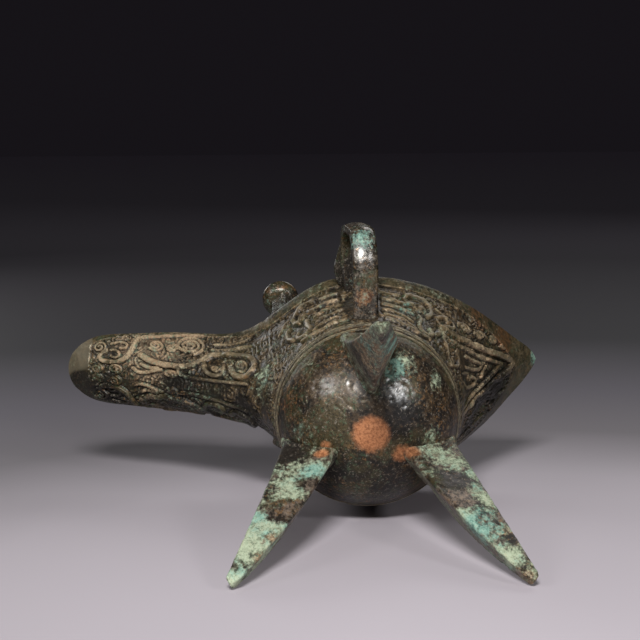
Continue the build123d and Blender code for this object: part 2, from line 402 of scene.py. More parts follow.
# Spout ribbons as (half width, height, points): dragon with a hooked crest, long body and curled tail
SPOUT_RIBBONS = [
    (0.85, 0.85, [(79.7, 0.82), (82.1, 0.56), (84.5, 0.37), (87.7, 0.28), (91.3, 0.28), (93.7, 0.34),
                  (93.9, 0.46), (91.8, 0.55)]),
    (0.5, 0.55, [(90.3, 0.41), (88.4, 0.37), (86.9, 0.44), (88.4, 0.53), (90.5, 0.55)]),
    (0.5, 0.55, [(90.2, 0.70), (86.7, 0.73), (84.3, 0.66), (84.5, 0.58), (86.7, 0.57)]),
    (1.05, 0.95, [(78.9, 0.41), (75.6, 0.32), (72.0, 0.27), (67.7, 0.25), (63.6, 0.25), (59.5, 0.30),
                  (55.9, 0.38), (53.0, 0.48), (48.4, 0.51), (43.4, 0.52), (39.5, 0.49), (37.8, 0.38),
                  (38.8, 0.28), (41.4, 0.21), (44.3, 0.20), (45.8, 0.26)]),
    (0.8, 0.8, [(55.6, 0.33), (55.4, 0.25), (53.9, 0.19), (51.3, 0.175), (49.1, 0.21), (48.6, 0.28)]),
    (0.75, 0.75, [(52.7, 0.59), (48.4, 0.63), (43.8, 0.67), (39.3, 0.71)]),
    (0.55, 0.55, [(52.3, 0.74), (47.0, 0.78), (42.9, 0.83), (39.3, 0.86)]),
    (0.55, 0.6, [(79.5, 0.84), (75.4, 0.88), (69.1, 0.90), (64.3, 0.92), (56.6, 0.92)]),
    (0.6, 0.65, [(82.1, 0.17), (80.0, 0.11), (77.3, 0.11), (74.7, 0.14), (71.3, 0.18)]),
    (0.6, 0.65, [(78.7, 0.25), (76.3, 0.20), (72.5, 0.20)]),
    (0.6, 0.6, [(64.5, 0.23), (65.3, 0.17), (64.1, 0.13), (60.9, 0.11), (55.9, 0.11), (47.9, 0.12),
                (40.5, 0.13)]),
    (0.5, 0.55, scroll((61.2, 0.69), (5.4, 0.205), 2.6, 1)),
    (0.45, 0.5, scroll((67.9, 0.62), (2.1, 0.11), 1.6, -1)),
    (0.45, 0.5, scroll((73.6, 0.65), (2.9, 0.13), 1.8, 1)),
    (0.45, 0.5, scroll((68.2, 0.13), (2.5, 0.055), 1.6, 1)),
    (0.45, 0.5, scroll((51.6, 0.27), (1.7, 0.05), 1.4, -1)),
    (0.45, 0.5, scroll((42.6, 0.35), (2.4, 0.085), 1.7, 1)),
    (0.45, 0.5, scroll((94.6, 0.66), (2.4, 0.15), 1.6, 1)),
    (0.45, 0.5, scroll((95.0, 0.12), (2.2, 0.11), 1.6, -1)),
    (0.45, 0.5, scroll((88.8, 0.13), (2.4, 0.10), 1.6, 1)),
]

# Belly ribbons by (bearing from the handle, share): half of an animal mask with an eye, horn, jaw and tail
MASK_RIBBONS = [
    (1.0, 0.95, [(27.5, 0.80), (31.5, 0.84), (36.5, 0.83), (40.5, 0.76), (42.0, 0.66), (40.0, 0.59)]),
    (0.8, 0.8, [(14.0, 0.68), (20.0, 0.67), (26.0, 0.67), (31.0, 0.69)]),
    (0.6, 0.6, [(13.0, 0.80), (18.0, 0.80), (24.0, 0.79)]),
    (0.6, 0.6, [(13.0, 0.57), (19.0, 0.56), (25.0, 0.55), (31.0, 0.52)]),
    (0.6, 0.6, [(13.0, 0.46), (19.0, 0.45), (26.0, 0.43), (31.5, 0.38)]),
    (0.6, 0.6, [(13.0, 0.35), (20.0, 0.34), (28.0, 0.31), (34.0, 0.26)]),
    (0.9, 0.85, [(35.5, 0.54), (36.5, 0.46), (35.5, 0.38), (37.5, 0.30), (42.0, 0.28), (45.0, 0.34),
                 (43.0, 0.40)]),
    (0.8, 0.8, [(13.0, 0.22), (20.0, 0.21), (28.0, 0.18), (36.0, 0.17), (43.0, 0.20)]),
    (0.9, 0.85, [(46.0, 0.62), (49.0, 0.55), (49.5, 0.45), (47.5, 0.38)]),
    (0.6, 0.6, [(44.0, 0.78), (48.0, 0.74), (52.0, 0.67)]),
]
MASK_EYE = (35.8, 0.68)
EYE_RADIUS = 2.4

# Leaf on the tail, by (bearing, share): a double border that closes near the tip, with scrolls inside
LEAF_RIBBONS = [
    (1.1, 1.1, [(139.0, 0.545), (146.0, 0.575), (152.6, 0.61), (162.8, 0.70), (171.6, 0.80), (177.5, 0.86)]),
    (1.1, 1.1, [(177.5, 0.86), (180.5, 0.76), (182.7, 0.67), (185.0, 0.57), (187.5, 0.47), (191.0, 0.36),
                (196.0, 0.24)]),
    (0.7, 0.8, [(143.5, 0.46), (150.0, 0.50), (156.0, 0.545), (164.5, 0.62), (171.8, 0.71), (175.6, 0.76)]),
    (0.7, 0.8, [(175.6, 0.76), (177.8, 0.67), (180.0, 0.57), (182.6, 0.47), (186.0, 0.36), (190.0, 0.25)]),
    (0.7, 0.75, [(141.0, 0.52), (144.0, 0.42), (149.0, 0.30), (155.0, 0.19)]),
    (0.6, 0.65, [(160.5, 0.50), (166.0, 0.555), (170.5, 0.61), (172.0, 0.56), (169.0, 0.48), (165.5, 0.43)]),
    (0.6, 0.65, [(176.5, 0.54), (174.0, 0.60), (173.0, 0.64)]),
    (0.6, 0.65, [(172.5, 0.44), (176.0, 0.48), (178.0, 0.43), (176.5, 0.34), (171.5, 0.31)]),
    (0.6, 0.65, [(154.0, 0.43), (158.5, 0.40), (160.5, 0.32), (157.5, 0.27), (153.5, 0.31)]),
    (0.55, 0.6, [(166.5, 0.34), (169.0, 0.40), (173.0, 0.40)]),
]

# Scrolls between the leaf and the rim, on both sides of the tail
EDGE_SCROLLS = [
    (0.6, 0.6, scroll((150.3, 0.755), (4.0, 0.05), 1.5, 1)),
    (0.55, 0.6, scroll((157.4, 0.81), (2.9, 0.036), 1.4, -1)),
    (0.5, 0.55, scroll((163.4, 0.85), (2.2, 0.03), 1.3, 1)),
    (0.5, 0.55, scroll((168.4, 0.88), (1.7, 0.022), 1.2, -1)),
    (0.7, 0.75, [(135.5, 0.66), (139.5, 0.72), (144.5, 0.71), (145.5, 0.65), (141.5, 0.62)]),
]


def ribbon_lines():
    """All ribbons as places on the standing vessel, with their half widths and heights."""
    lines = []
    for half, height, points in SPOUT_RIBBONS:
        near = on_trough(curve_through(points))
        lines += [(half, height, near), (half, height, near * MIRROR)]
    for half, height, points in MASK_RIBBONS:
        for way in (-1, 1):
            near = on_band([(90 + way * turn, share) for turn, share in curve_through(points)])
            lines += [(half, height, near), (half, height, near * MIRROR)]
    for half, height, points in LEAF_RIBBONS + EDGE_SCROLLS:
        lines.append((half, height, on_band(curve_through(points))))
    for half, height, points in EDGE_SCROLLS:
        lines.append((half, height, on_band(curve_through(points)) * MIRROR))
    spaced = []
    for half, height, line in lines:
        count = max(3, int(run_along(line)[-1] / RIBBON_STEP))
        spaced.append((half, height, evenly(line, count)))
    return spaced


class Ornament:
    """Raised ribbons, eyes and ground scrolls of the wall, asked for by place."""

    SCROLL_STEP = 5.2       # from one ground scroll to the next
    SCROLL_PITCH = 1.6      # from one line of a scroll to the next
    LINE_HEIGHT = 0.55      # of the ground scrolls
    BOLD = 1.7              # ribbons stand this much prouder than drawn
    BROAD = 1.15            # and are this much wider
    TRIES = 9000            # places tried for ground scrolls
    SEED = 7                # of those draws
    CLEARANCE = 1.3         # from a scroll's middle to the nearest ribbon
    LEAST_RIBBON = 0.62     # share of its height that a ribbon keeps where it is most worn
    LEAST_LINE = 0.3        # the same of a ground line
    WANDER = 0.8            # how far the ground lines stray

    def __init__(self):
        lines = ribbon_lines()
        self.half = np.concatenate([np.full(len(line), half) for half, _, line in lines])
        self.height = np.concatenate([np.full(len(line), height) for _, height, line in lines])
        self.tree = tree_of(np.vstack([line for _, _, line in lines]))
        turns = [(90 + way * MASK_EYE[0], MASK_EYE[1]) for way in (-1, 1)]
        eyes = on_band(turns)
        self.eyes = np.vstack([eyes, eyes * MIRROR])
        self.centres = self.ground_centres()
        self.ground = tree_of(self.centres)

    def ground_centres(self):
        """Scattered middles of the ground scrolls, kept off the ribbons and off each other."""
        draw = random.Random(self.SEED)
        belly, rim, _ = LOOPS[0.0]
        cells = {}
        kept = []
        for _ in range(self.TRIES):
            k = draw.randrange(len(rim))
            share = np.array(draw.uniform(0.02, 1.0))
            place = wall_places(belly[k], rim[k], share)
            if self.tree.find(place)[2] < self.CLEARANCE:
                continue
            cell = tuple(int(v // self.SCROLL_STEP) for v in place)
            near = [q for dx in (-1, 0, 1) for dy in (-1, 0, 1) for dz in (-1, 0, 1)
                    for q in cells.get((cell[0] + dx, cell[1] + dy, cell[2] + dz), [])]
            if all(np.linalg.norm(place - q) > self.SCROLL_STEP for q in near):
                cells.setdefault(cell, []).append(place)
                kept.append(place)
        return np.array(kept)

    def relief(self, places, normals):
        """Height above the ground in millimetres, and the relief mark."""
        flat = places.reshape(-1, 3)
        found = [self.tree.find(p) for p in flat]
        index = np.array([f[1] for f in found])
        away = np.array([f[2] for f in found])
        half = self.BROAD * self.half[index]
        beside = away - half
        ridge = np.sqrt(np.clip(1 - (away / half) ** 5, 0, 1))
        worn = self.LEAST_RIBBON + (1 - self.LEAST_RIBBON) * ease(-0.3, 0.15, grain(flat, 4.5, 31.0))
        kept = self.LEAST_LINE + (1 - self.LEAST_LINE) * ease(-0.35, 0.2, grain(flat, 7.0, 17.0))
        lines = kept * self.scroll_lines(flat, normals.reshape(-1, 3)) * ease(0.35, 0.85, beside)
        eyes = self.eye_bosses(flat)
        height = np.maximum(self.BOLD * worn * self.height[index] * ridge, self.LINE_HEIGHT * lines)
        # The ground's mark falls to 0 beside a ribbon, where the finish paints shade into the groove
        ground = (GROUND + (LINE - GROUND) * lines) * ease(0.05, 0.7, beside)
        mark = np.where(eyes > 0.2, EYE, np.where(beside > 0, ground, RIBBON * ridge))
        shape = places.shape[:-1]
        return np.maximum(height, eyes).reshape(shape), mark.reshape(shape)

    def scroll_lines(self, flat, normals):
        """Ground scrolls, 1 on a line and 0 between lines."""
        found = np.array([self.ground.find(p)[1] for p in flat])
        offset = flat - self.centres[found]
        side = unit(np.cross((0.0, 0.0, 1.0), normals))
        up = np.cross(normals, side)
        a = (offset * side).sum(1) + self.WANDER * grain(flat, 2.4, 23.0)
        b = (offset * up).sum(1) + self.WANDER * grain(flat, 2.4, 29.0)
        reach = (np.abs(a) ** 3 + np.abs(b) ** 3) ** (1 / 3)
        hand = np.where(found % 2 == 0, 1.0, -1.0)
        phase = reach / self.SCROLL_PITCH - hand * np.arctan2(b, a) / (2 * math.pi) + 0.37 * found
        return ease(0.3, 0.7, 0.5 + 0.5 * np.cos(2 * math.pi * phase))

    def eye_bosses(self, flat):
        """Round eyes of the mask: a ring and a raised pupil."""
        away = np.min([np.linalg.norm(flat - eye, axis=1) for eye in self.eyes], axis=0) / EYE_RADIUS
        return np.maximum(1.1 * dome(away / 0.55), 0.9 * soft_ridge(away, 0.95, 0.16))


def tree_of(places):
    """Search tree over places."""
    tree = kdtree.KDTree(len(places))
    for i, place in enumerate(places):
        tree.insert(place, i)
    tree.balance()
    return tree


def lip_out(places, share):
    """How far the plain rim turns outward, less toward the tips and none where it lies on the floor."""
    x, y = places[..., 0], places[..., 1]
    reach = LIP_OUT * (1 - ease(*LIP_SPOUT_FADE, x)) * (1 - ease(*LIP_TAIL_FADE, -x))
    off_floor = np.clip(ease(*LIP_FLOOR_FADE, y) + ease(*LIP_SPOUT_ROOT, x), 0, 1)
    return reach * ease(LIP_START, 1.0, share) ** LIP_CURVE * off_floor


def dressed_wall(places, share, ornament):
    """Outer wall with ornament: moved places, and the relief marks of its finish."""
    x, y, z = places[..., 0], places[..., 1], places[..., 2]
    normals = facing(places, places * LEVEL)
    normals[..., 0] *= ease(0, SEAM_FADE, np.abs(np.abs(x) - JOINT))
    margin = RIM_MARGIN - (RIM_MARGIN - SPOUT_MARGIN) * ease(*MARGIN_SPAN, x)

    # The ornament ends softly below the rim, before the smooth tip and above the bowl
    zone = ease(0, 0.5, rim_height(x) - z - margin) * ease(0, 0.6, PLAIN_TIP - x)
    zone = zone * ease(1.0, 1.6, z - RING_HEIGHT)
    height, mark = ornament.relief(places, normals)

    # The smooth tip has only its keel line, and the cast wall is wavy elsewhere
    keel = KEEL * np.clip(1 - np.abs(y) / KEEL_HALF, 0, 1) * ease(*KEEL_SPAN, x)
    wavy = 0.10 * grain(places, 5.0, 3.1) + 0.05 * grain(places, 1.6, 8.2)
    wavy = wavy * (1 - ease(PLAIN_TIP - 1, PLAIN_TIP, x))
    offset = zone * (height - GROUND_SINK) + keel + wavy - CAST_LOSS
    offset = np.where(x > PLAIN_TIP, np.minimum(offset, keel * ease(0, 6, SPOUT_REACH - x)), offset)
    moved = places + normals * offset[..., None]
    moved = moved + unit(normals * LEVEL) * lip_out(places, share)[..., None]
    return moved, np.where(zone > 0.5, mark, np.where(x > PLAIN_TIP - 1, SMOOTH, RIM))


def blunt_tail(places):
    """Widens the tail close to its point, so that the point is rounded."""
    t = np.maximum(places[..., 0] + TAIL_REACH, 0.0)
    wider = (np.sqrt(1 + TAIL_BLUNT / (t + POINT_OFFSET)) - 1) * np.exp(-((t / BLUNT_REACH) ** 2))
    return np.stack([places[..., 0], places[..., 1] * (1 + wider), places[..., 2]], -1)


# Mesh helpers

def folded_grid(name, places, relief=None, cap_ends=False):
    """A grid folded onto places on the standing vessel, its first rows marked and the others plain."""
    marks = np.full(places.shape[:2], PLAIN)
    if relief is not None:
        marks[:, : relief.shape[1]] = relief
    columns, rows = places.shape[0] - 1, places.shape[1] - 1
    laid = lay(places)
    bm = bmesh.new()
    bmesh.ops.create_grid(bm, x_segments=columns, y_segments=rows, size=0.5)
    layer = bm.verts.layers.float.new("relief")
    for v in bm.verts:
        i = round((v.co.x + 0.5) * columns)
        j = round((v.co.y + 0.5) * rows)
        v.co = laid[i, j]
        v[layer] = marks[i, j]
    bmesh.ops.remove_doubles(bm, verts=bm.verts, dist=2e-6)
    if cap_ends:
        bmesh.ops.holes_fill(bm, edges=[e for e in bm.edges if e.is_boundary], sides=0)
    return finished(name, bm)


def finished(name, bm):
    """Turns a bmesh into a smooth-shaded object with outward faces."""
    bmesh.ops.recalc_face_normals(bm, faces=bm.faces)
    for face in bm.faces:
        face.smooth = True
    for edge in bm.edges:
        edge.smooth = edge.calc_face_angle(0.0) < CREASE
    mesh = bpy.data.meshes.new(name)
    bm.to_mesh(mesh)
    bm.free()
    piece = bpy.data.objects.new(name, mesh)
    bpy.context.scene.collection.objects.link(piece)
    return piece


def settle(piece, slot, material, *nodes):
    """Puts a piece on the part: its body, its finish and the solids it stands for."""
    piece.data.materials.append(material)
    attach(piece, "root")
    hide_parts(*nodes)


def lip_rows(outer, inner, bulge):
    """Two rows that round the edge between the outer and inner wall."""
    rise = np.zeros(outer.shape)
    rise[..., 2] = bulge
    return np.stack([outer + (inner - outer) * f + rise for f in (0.3, 0.7)], 1)


# Wall pieces

def band_wall(ornament):
    """Belly band: a full ring at the belly, cut off at the seams of spout and tail."""
    columns, rows, inner_rows = 620, 128, 14
    even_at = 0.6               # share of the height at which the columns are evenly spaced
    grids = {}
    shares = {}
    for inset, count in ((0.0, rows), (WALL, inner_rows)):
        belly, rim, _ = LOOPS[inset]
        middle = wall_places(belly, rim, np.full(len(rim), even_at))
        length = run_along(middle)
        samples = np.arange(len(rim))
        k = np.interp(np.linspace(0, length[-1], columns + 1), length, samples)
        belly = np.stack([np.interp(k, samples, belly[:, i]) for i in (0, 1)], 1)
        rim = np.stack([np.interp(k, samples, rim[:, i]) for i in (0, 1)], 1)
        past = np.abs(rim[:, 0]) > JOINT
        seam = np.sign(rim[:, 0]) * JOINT
        ratio = np.where(past, (seam - belly[:, 0]) / np.where(past, rim[:, 0] - belly[:, 0], 1), 1)
        top = np.clip(ratio, 0, 1) ** (1 / FLARE)
        recess = COLLAR_HEIGHT + GAP if inset else 0.0
        foot = recess / (rim_height(rim[:, 0]) - RING_HEIGHT)
        shares[inset] = foot[:, None] + (top - foot)[:, None] * np.linspace(0, 1, count + 1)
        grids[inset] = wall_places(belly[:, None], rim[:, None], shares[inset])
    outer, relief = dressed_wall(grids[0.0], shares[0.0], ornament)
    open_rim = shares[0.0][:, -1] > 0.999
    inner = grids[WALL][:, ::-1]
    lip = lip_rows(outer[:, -1], inner[:, 0], LIP_BULGE * open_rim)
    recess_radius = COLLAR_RADIUS + GAP
    angle = np.arctan2(inner[:, -1, 1], inner[:, -1, 0])
    ring = np.stack([recess_radius * np.cos(angle), recess_radius * np.sin(angle)], 1)
    step = [np.column_stack([ring, np.full(len(ring), RING_HEIGHT + h)]) for h in (COLLAR_HEIGHT + GAP, 0.0)]
    places = np.concatenate([outer, lip, inner, np.stack(step, 1), outer[:, :1]], 1)
    places[-1] = places[0]
    return folded_grid("band_wall", places, relief)


def trough_wall(name, start, tip, ornament, columns, half_rows):
    """Spout or tail: an open trough that closes at its tip, with sections closer together there."""
    inner_half_rows, crowding = 10, 1.25
    crowd = 1 - (1 - np.linspace(0, 1, columns + 1)) ** crowding
    tip_wall = WALL if tip > 0 else TAIL_TIP_WALL * WALL
    inner_tip = tip - math.copysign(tip_wall, tip)
    outer = trough(start + (tip - start) * crowd, half_rows, 0.0)
    inner = trough(start + (inner_tip - start) * crowd, inner_half_rows, WALL)
    wall_height = np.maximum(rim_height(outer[..., 0]) - RING_HEIGHT, 1)
    moved, relief = dressed_wall(outer, (outer[..., 2] - RING_HEIGHT) / wall_height, ornament)
    moved[0, :, 0] = start
    moved[-1] = outer[-1]
    bulge = np.full(columns + 1, LIP_BULGE)
    bulge[0] = bulge[-1] = 0.0
    handle_lip = lip_rows(moved[:, -1], inner[:, -1], bulge)
    far_lip = lip_rows(inner[:, 0], moved[:, 0], bulge)
    places = np.concatenate([moved, handle_lip, inner[:, ::-1], far_lip, moved[:, :1]], 1)
    if tip < 0:
        places = blunt_tail(places)
    return folded_grid(name, places, relief, cap_ends=True)


# Bowl and plug

def bowl_line(radius, depth, r):
    """Height of the bowl's half ellipse at a distance from the axis."""
    return RING_HEIGHT - depth * math.sqrt(max(0.0, 1 - (r / radius) ** 2))


def bowl_reach(places):
    """Squared reach from the middle of the bowl's mouth: 1 on the bowl's outside, less within."""
    r = np.linalg.norm(places[..., :2], axis=-1)
    return (r / RING_RADIUS) ** 2 + ((RING_HEIGHT - places[..., 2]) / BOWL_DEPTH) ** 2


def all_plain(places):
    """Relief marks of a piece without ornament."""
    return np.full(len(places), PLAIN)


def spun(name, profile, steps, shaped, marked=all_plain):
    """A closed outline of (radius, height) pairs turned once round the vessel's axis, then shaped."""
    bm = bmesh.new()
    verts = [bm.verts.new((r, 0.0, z)) for r, z in profile]
    edges = [bm.edges.new(pair) for pair in zip(verts, verts[1:] + verts[:1])]
    bmesh.ops.spin(
        bm, geom=verts + edges, cent=(0, 0, 0), axis=(0, 0, 1), angle=2 * math.pi, steps=steps, use_merge=True
    )
    bmesh.ops.remove_doubles(bm, verts=bm.verts, dist=1e-4)
    layer = bm.verts.layers.float.new("relief")
    places = np.array([v.co for v in bm.verts])
    for v, co, mark in zip(bm.verts, lay(shaped(places)), marked(places)):
        v.co = co
        v[layer] = mark
    return finished(name, bm)


def string_marks(places):
    """Relief marks of the bowl: its string lines get a painted highlight."""
    depth = np.clip((RING_HEIGHT - places[:, 2]) / BOWL_DEPTH, 0, 1)
    proud = np.linalg.norm(places[:, :2], axis=1) - RING_RADIUS * np.sqrt(1 - depth**2)
    return np.where(proud > 0.6 * STRING_RADIUS, STRING, PLAIN)


def worn_bowl(places):
    """Bowl's outside made uneven: soft dents and corroded pits."""
    outside = (bowl_reach(places) > BOWL_SKIN) & (places[:, 2] < RING_HEIGHT - GAP)
    n = unit((places - (0, 0, RING_HEIGHT)) / (RING_RADIUS**2, RING_RADIUS**2, BOWL_DEPTH**2))
    dent = 0.12 * grain(places, 7.0, 2.0) + 0.05 * grain(places, 1.2, 9.0)
    dent = dent - 0.35 * pits(places, 2.2, 0.25, 5.0) - 0.08
    return places + n * (dent * outside)[:, None]


def bowl_shell():
    """Round bottom with string lines, a collar for the band and a hole for the plug."""
    outer_steps, inner_steps, turn_steps = 110, 24, 300
    hole = PLUG_RADIUS + GAP
    top = math.pi / 2
    profile = []
    start = math.asin(hole / RING_RADIUS)
    for i in range(outer_steps + 1):
        turn = start + (top - start) * i / outer_steps
        r = RING_RADIUS * math.sin(turn)
        z = RING_HEIGHT - BOWL_DEPTH * math.cos(turn)
        for line in range(STRING_LINES):
            away = (z - (RING_HEIGHT - STRING_RADIUS - line * STRING_PITCH)) / STRING_RADIUS
            r += 0.95 * STRING_RADIUS * float(dome(away))
        profile.append((r, z))
    profile[-1] = (RING_RADIUS + 0.1, RING_HEIGHT)
    collar_top = RING_HEIGHT + COLLAR_HEIGHT
    profile += [(COLLAR_RADIUS, RING_HEIGHT), (COLLAR_RADIUS, collar_top), (INNER_RADIUS, collar_top)]
    start = math.asin(hole / INNER_RADIUS)
    for i in range(inner_steps + 1):
        turn = top - (top - start) * i / inner_steps
        profile.append((INNER_RADIUS * math.sin(turn), RING_HEIGHT - INNER_DEPTH * math.cos(turn)))
    return spun("bowl_shell", profile, turn_steps, worn_bowl, string_marks)


def copper_plug():
    """Plug of bare copper, filed to the bowl's curve inside and out."""
    steps, turn_steps = 24, 96
    rs = [PLUG_RADIUS * i / steps for i in range(steps + 1)]
    outside = [(r, bowl_line(RING_RADIUS, BOWL_DEPTH, r)) for r in rs]
    inside = [(r, bowl_line(INNER_RADIUS, INNER_DEPTH, r)) for r in reversed(rs)]
    return spun("copper_plug", outside + inside, turn_steps, worn_bowl)


# Legs

def oblong(a, b):
    """Corners of an oblong with two half widths."""
    return [(-a, -b), (a, -b), (a, b), (-a, b)]


def rounded_outline(corners, radius, per_side, per_bend):
    """Closed outline of a polygon with rounded corners, the same number of points each time."""
    points = []
    n = len(corners)
    for i in range(n):
        before, here, after, beyond = (np.asarray(corners[(i + k) % n], float) for k in (-1, 0, 1, 2))
        a, b, c = unit(before - here), unit(after - here), unit(beyond - after)
        half = 0.5 * math.acos(np.clip(a @ b, -1, 1))
        middle = here + unit(a + b) * radius / math.sin(half)
        first = here + a * radius / math.tan(half)
        last = here + b * radius / math.tan(half)
        p, q = first - middle, last - middle
        swing = math.pi - 2 * half
        for j in range(per_bend + 1):
            f = j / per_bend
            arm = p * math.sin((1 - f) * swing) + q * math.sin(f * swing)
            points.append(middle + arm / math.sin(swing))
        next_half = 0.5 * math.acos(np.clip(-b @ c, -1, 1))
        end = after - b * radius / math.tan(next_half)
        points += [last + (end - last) * j / per_side for j in range(1, per_side)]
    points.append(points[0])
    return np.array(points)


def leg_outline(share):
    """Rounded three-sided section of a leg at bearing 0, from the foot (0) to the top (1)."""
    toe = FOOT_RADIUS - FOOT_DEPTH / 2
    heel = FOOT_RADIUS + FOOT_DEPTH / 2
    weights = ((1 - share) * (1 - 2 * share), 4 * share * (1 - share), share * (2 * share - 1))

    def blend(foot, middle, top):
        return weights[0] * foot + weights[1] * middle + weights[2] * top

    ridge = blend(toe, (toe + LEG_RIDGE) / 2 - LEG_BOW, LEG_RIDGE)
    back = blend(heel, (heel + LEG_BACK) / 2 - LEG_SWEEP, LEG_BACK)
    half = blend(FOOT_HALF, (FOOT_HALF + LEG_HALF) / 2 + LEG_SWELL, LEG_HALF)
    corners = [(ridge, 0), (back, half), (back, -half)]
    outline = rounded_outline(corners, blend(*LEG_EDGES), per_side=16, per_bend=6)
    return np.column_stack([outline, np.full(len(outline), LEG_TOP * share)])


def leg_blade(name, bearing, seed):
    """One leg from its blunt foot to just inside the bowl's wall."""
    levels, rows, crowding = 240, 150, 1.4
    rings = np.array([leg_outline(share) for share in np.linspace(0, 1, levels + 1)])
    inside = bowl_reach(rings) < LEG_ROOT
    inside[-1] = True
    ends = np.argmax(inside, axis=0)
    columns = rings.shape[1]
    places = np.empty((columns, rows + 1, 3))
    for c in range(columns):
        at = ends[c] * np.linspace(0, 1, rows + 1) ** crowding
        places[c] = np.stack([np.interp(at, np.arange(levels + 1), rings[:, c, k]) for k in range(3)], 1)
    n = facing(places, places - places.mean(0, keepdims=True))
    n[-1] = n[0] = 0.5 * (n[0] + n[-1])
    off_bowl = RING_RADIUS * (np.sqrt(bowl_reach(places)) - 1)
    cove = LEG_COVE * (1 - ease(-1.0, 5.0, off_bowl)) ** 2
    worn = 0.30 * bumps(places, 5.0, seed) + 0.10 * bumps(places, 0.8, seed + 5)
    worn = worn + 0.45 * pits(places, 1.7, 0.1, seed + 3)
    places = places + n * (cove - worn)[..., None]
    middle = places.mean(0, keepdims=True)
    rise = np.clip(places[..., 2:] / FOOT_ROUND, 0, 1)
    places = middle + (places - middle) * (FOOT_TIP + (1 - FOOT_TIP) * dome(1 - rise))
    places[-1] = places[0]
    x, y = turned(places[..., 0], places[..., 1], math.radians(bearing))
    return folded_grid(name, np.stack([x, y, places[..., 2]], -1), cap_ends=True)


# Handle

def handle_turned(places):
    """The handle's shift toward the spout and its skew about a line straight out of the wall."""
    middle = (ARM_LOW + ARM_HIGH) / 2
    x, z = turned(places[..., 0], places[..., 2] - middle, -math.radians(HANDLE_SKEW))
    return np.stack([HANDLE_SHIFT + x, places[..., 1], middle + z], -1)


def strap_path():
    """Middle line of the strap from its lower to its upper root: way out, height and heading."""
    low_steps, bend_steps, front_steps, corner_steps, high_steps = 26, 40, 12, 30, 18
    quarter = math.pi / 2
    bend = HANDLE_CORNER - STRAP_THICK / 2
    out = HANDLE_REACH - STRAP_THICK / 2
    low_length = out - LOW_BEND - LOWER_ROOT
    front_length = ARM_HIGH - ARM_LOW - 2 * bend
    high_length = out - bend - UPPER_ROOT
    path = [(LOWER_ROOT + low_length * i / low_steps, ARM_LOW, 0.0) for i in range(low_steps)]
    for i in range(bend_steps + 1):
        t = quarter * i / bend_steps
        heading = math.atan2(bend * math.sin(t), LOW_BEND * math.cos(t))
        path.append((out - LOW_BEND * (1 - math.sin(t)), ARM_LOW + bend * (1 - math.cos(t)), heading))
    for i in range(1, front_steps):
        path.append((out, ARM_LOW + bend + front_length * i / front_steps, quarter))
    for i in range(corner_steps + 1):
        t = quarter * i / corner_steps
        path.append((out - bend * (1 - math.cos(t)), ARM_HIGH - bend * (1 - math.sin(t)), quarter + t))
    for i in range(1, high_steps + 1):
        path.append((out - bend - high_length * i / high_steps, ARM_HIGH, math.pi))
    return path


def strap_loop():
    """Strap bent to a loop, its outer face rounded and its upper arm narrower at the root."""
    half_w, half_t = STRAP_WIDTH / 2 + STRAP_SWELL, STRAP_THICK / 2
    outline = rounded_outline(oblong(half_w, half_t), STRAP_EDGE, per_side=14, per_bend=5)
    across, lift = outline[:, 0], outline[:, 1]
    lift = lift - np.where(lift > 0.5 * half_t, STRAP_CROWN * (across / half_w) ** 2, 0.0)
    root = ROOT_HALF / half_w
    rows = []
    for y, z, heading in strap_path():
        narrow = 1.0
        if z > ARM_HIGH - 1:
            narrow = root + (1 - root) * float(ease(UPPER_ROOT, ROOT_TAPER, y))
        s, c = math.sin(heading), math.cos(heading)
        rows.append(np.column_stack([narrow * across, y + s * lift, z - c * lift]))
    places = np.array(rows).transpose(1, 0, 2)
    n = unit(places - places.mean(0, keepdims=True))
    worn = 0.12 * bumps(places, 3.5, 12.0) + 0.3 * pits(places, 1.4, 0.2, 15.0)
    places = handle_turned(places - n * worn[..., None])
    places[-1] = places[0]
    return folded_grid("strap_loop", places, cap_ends=True)


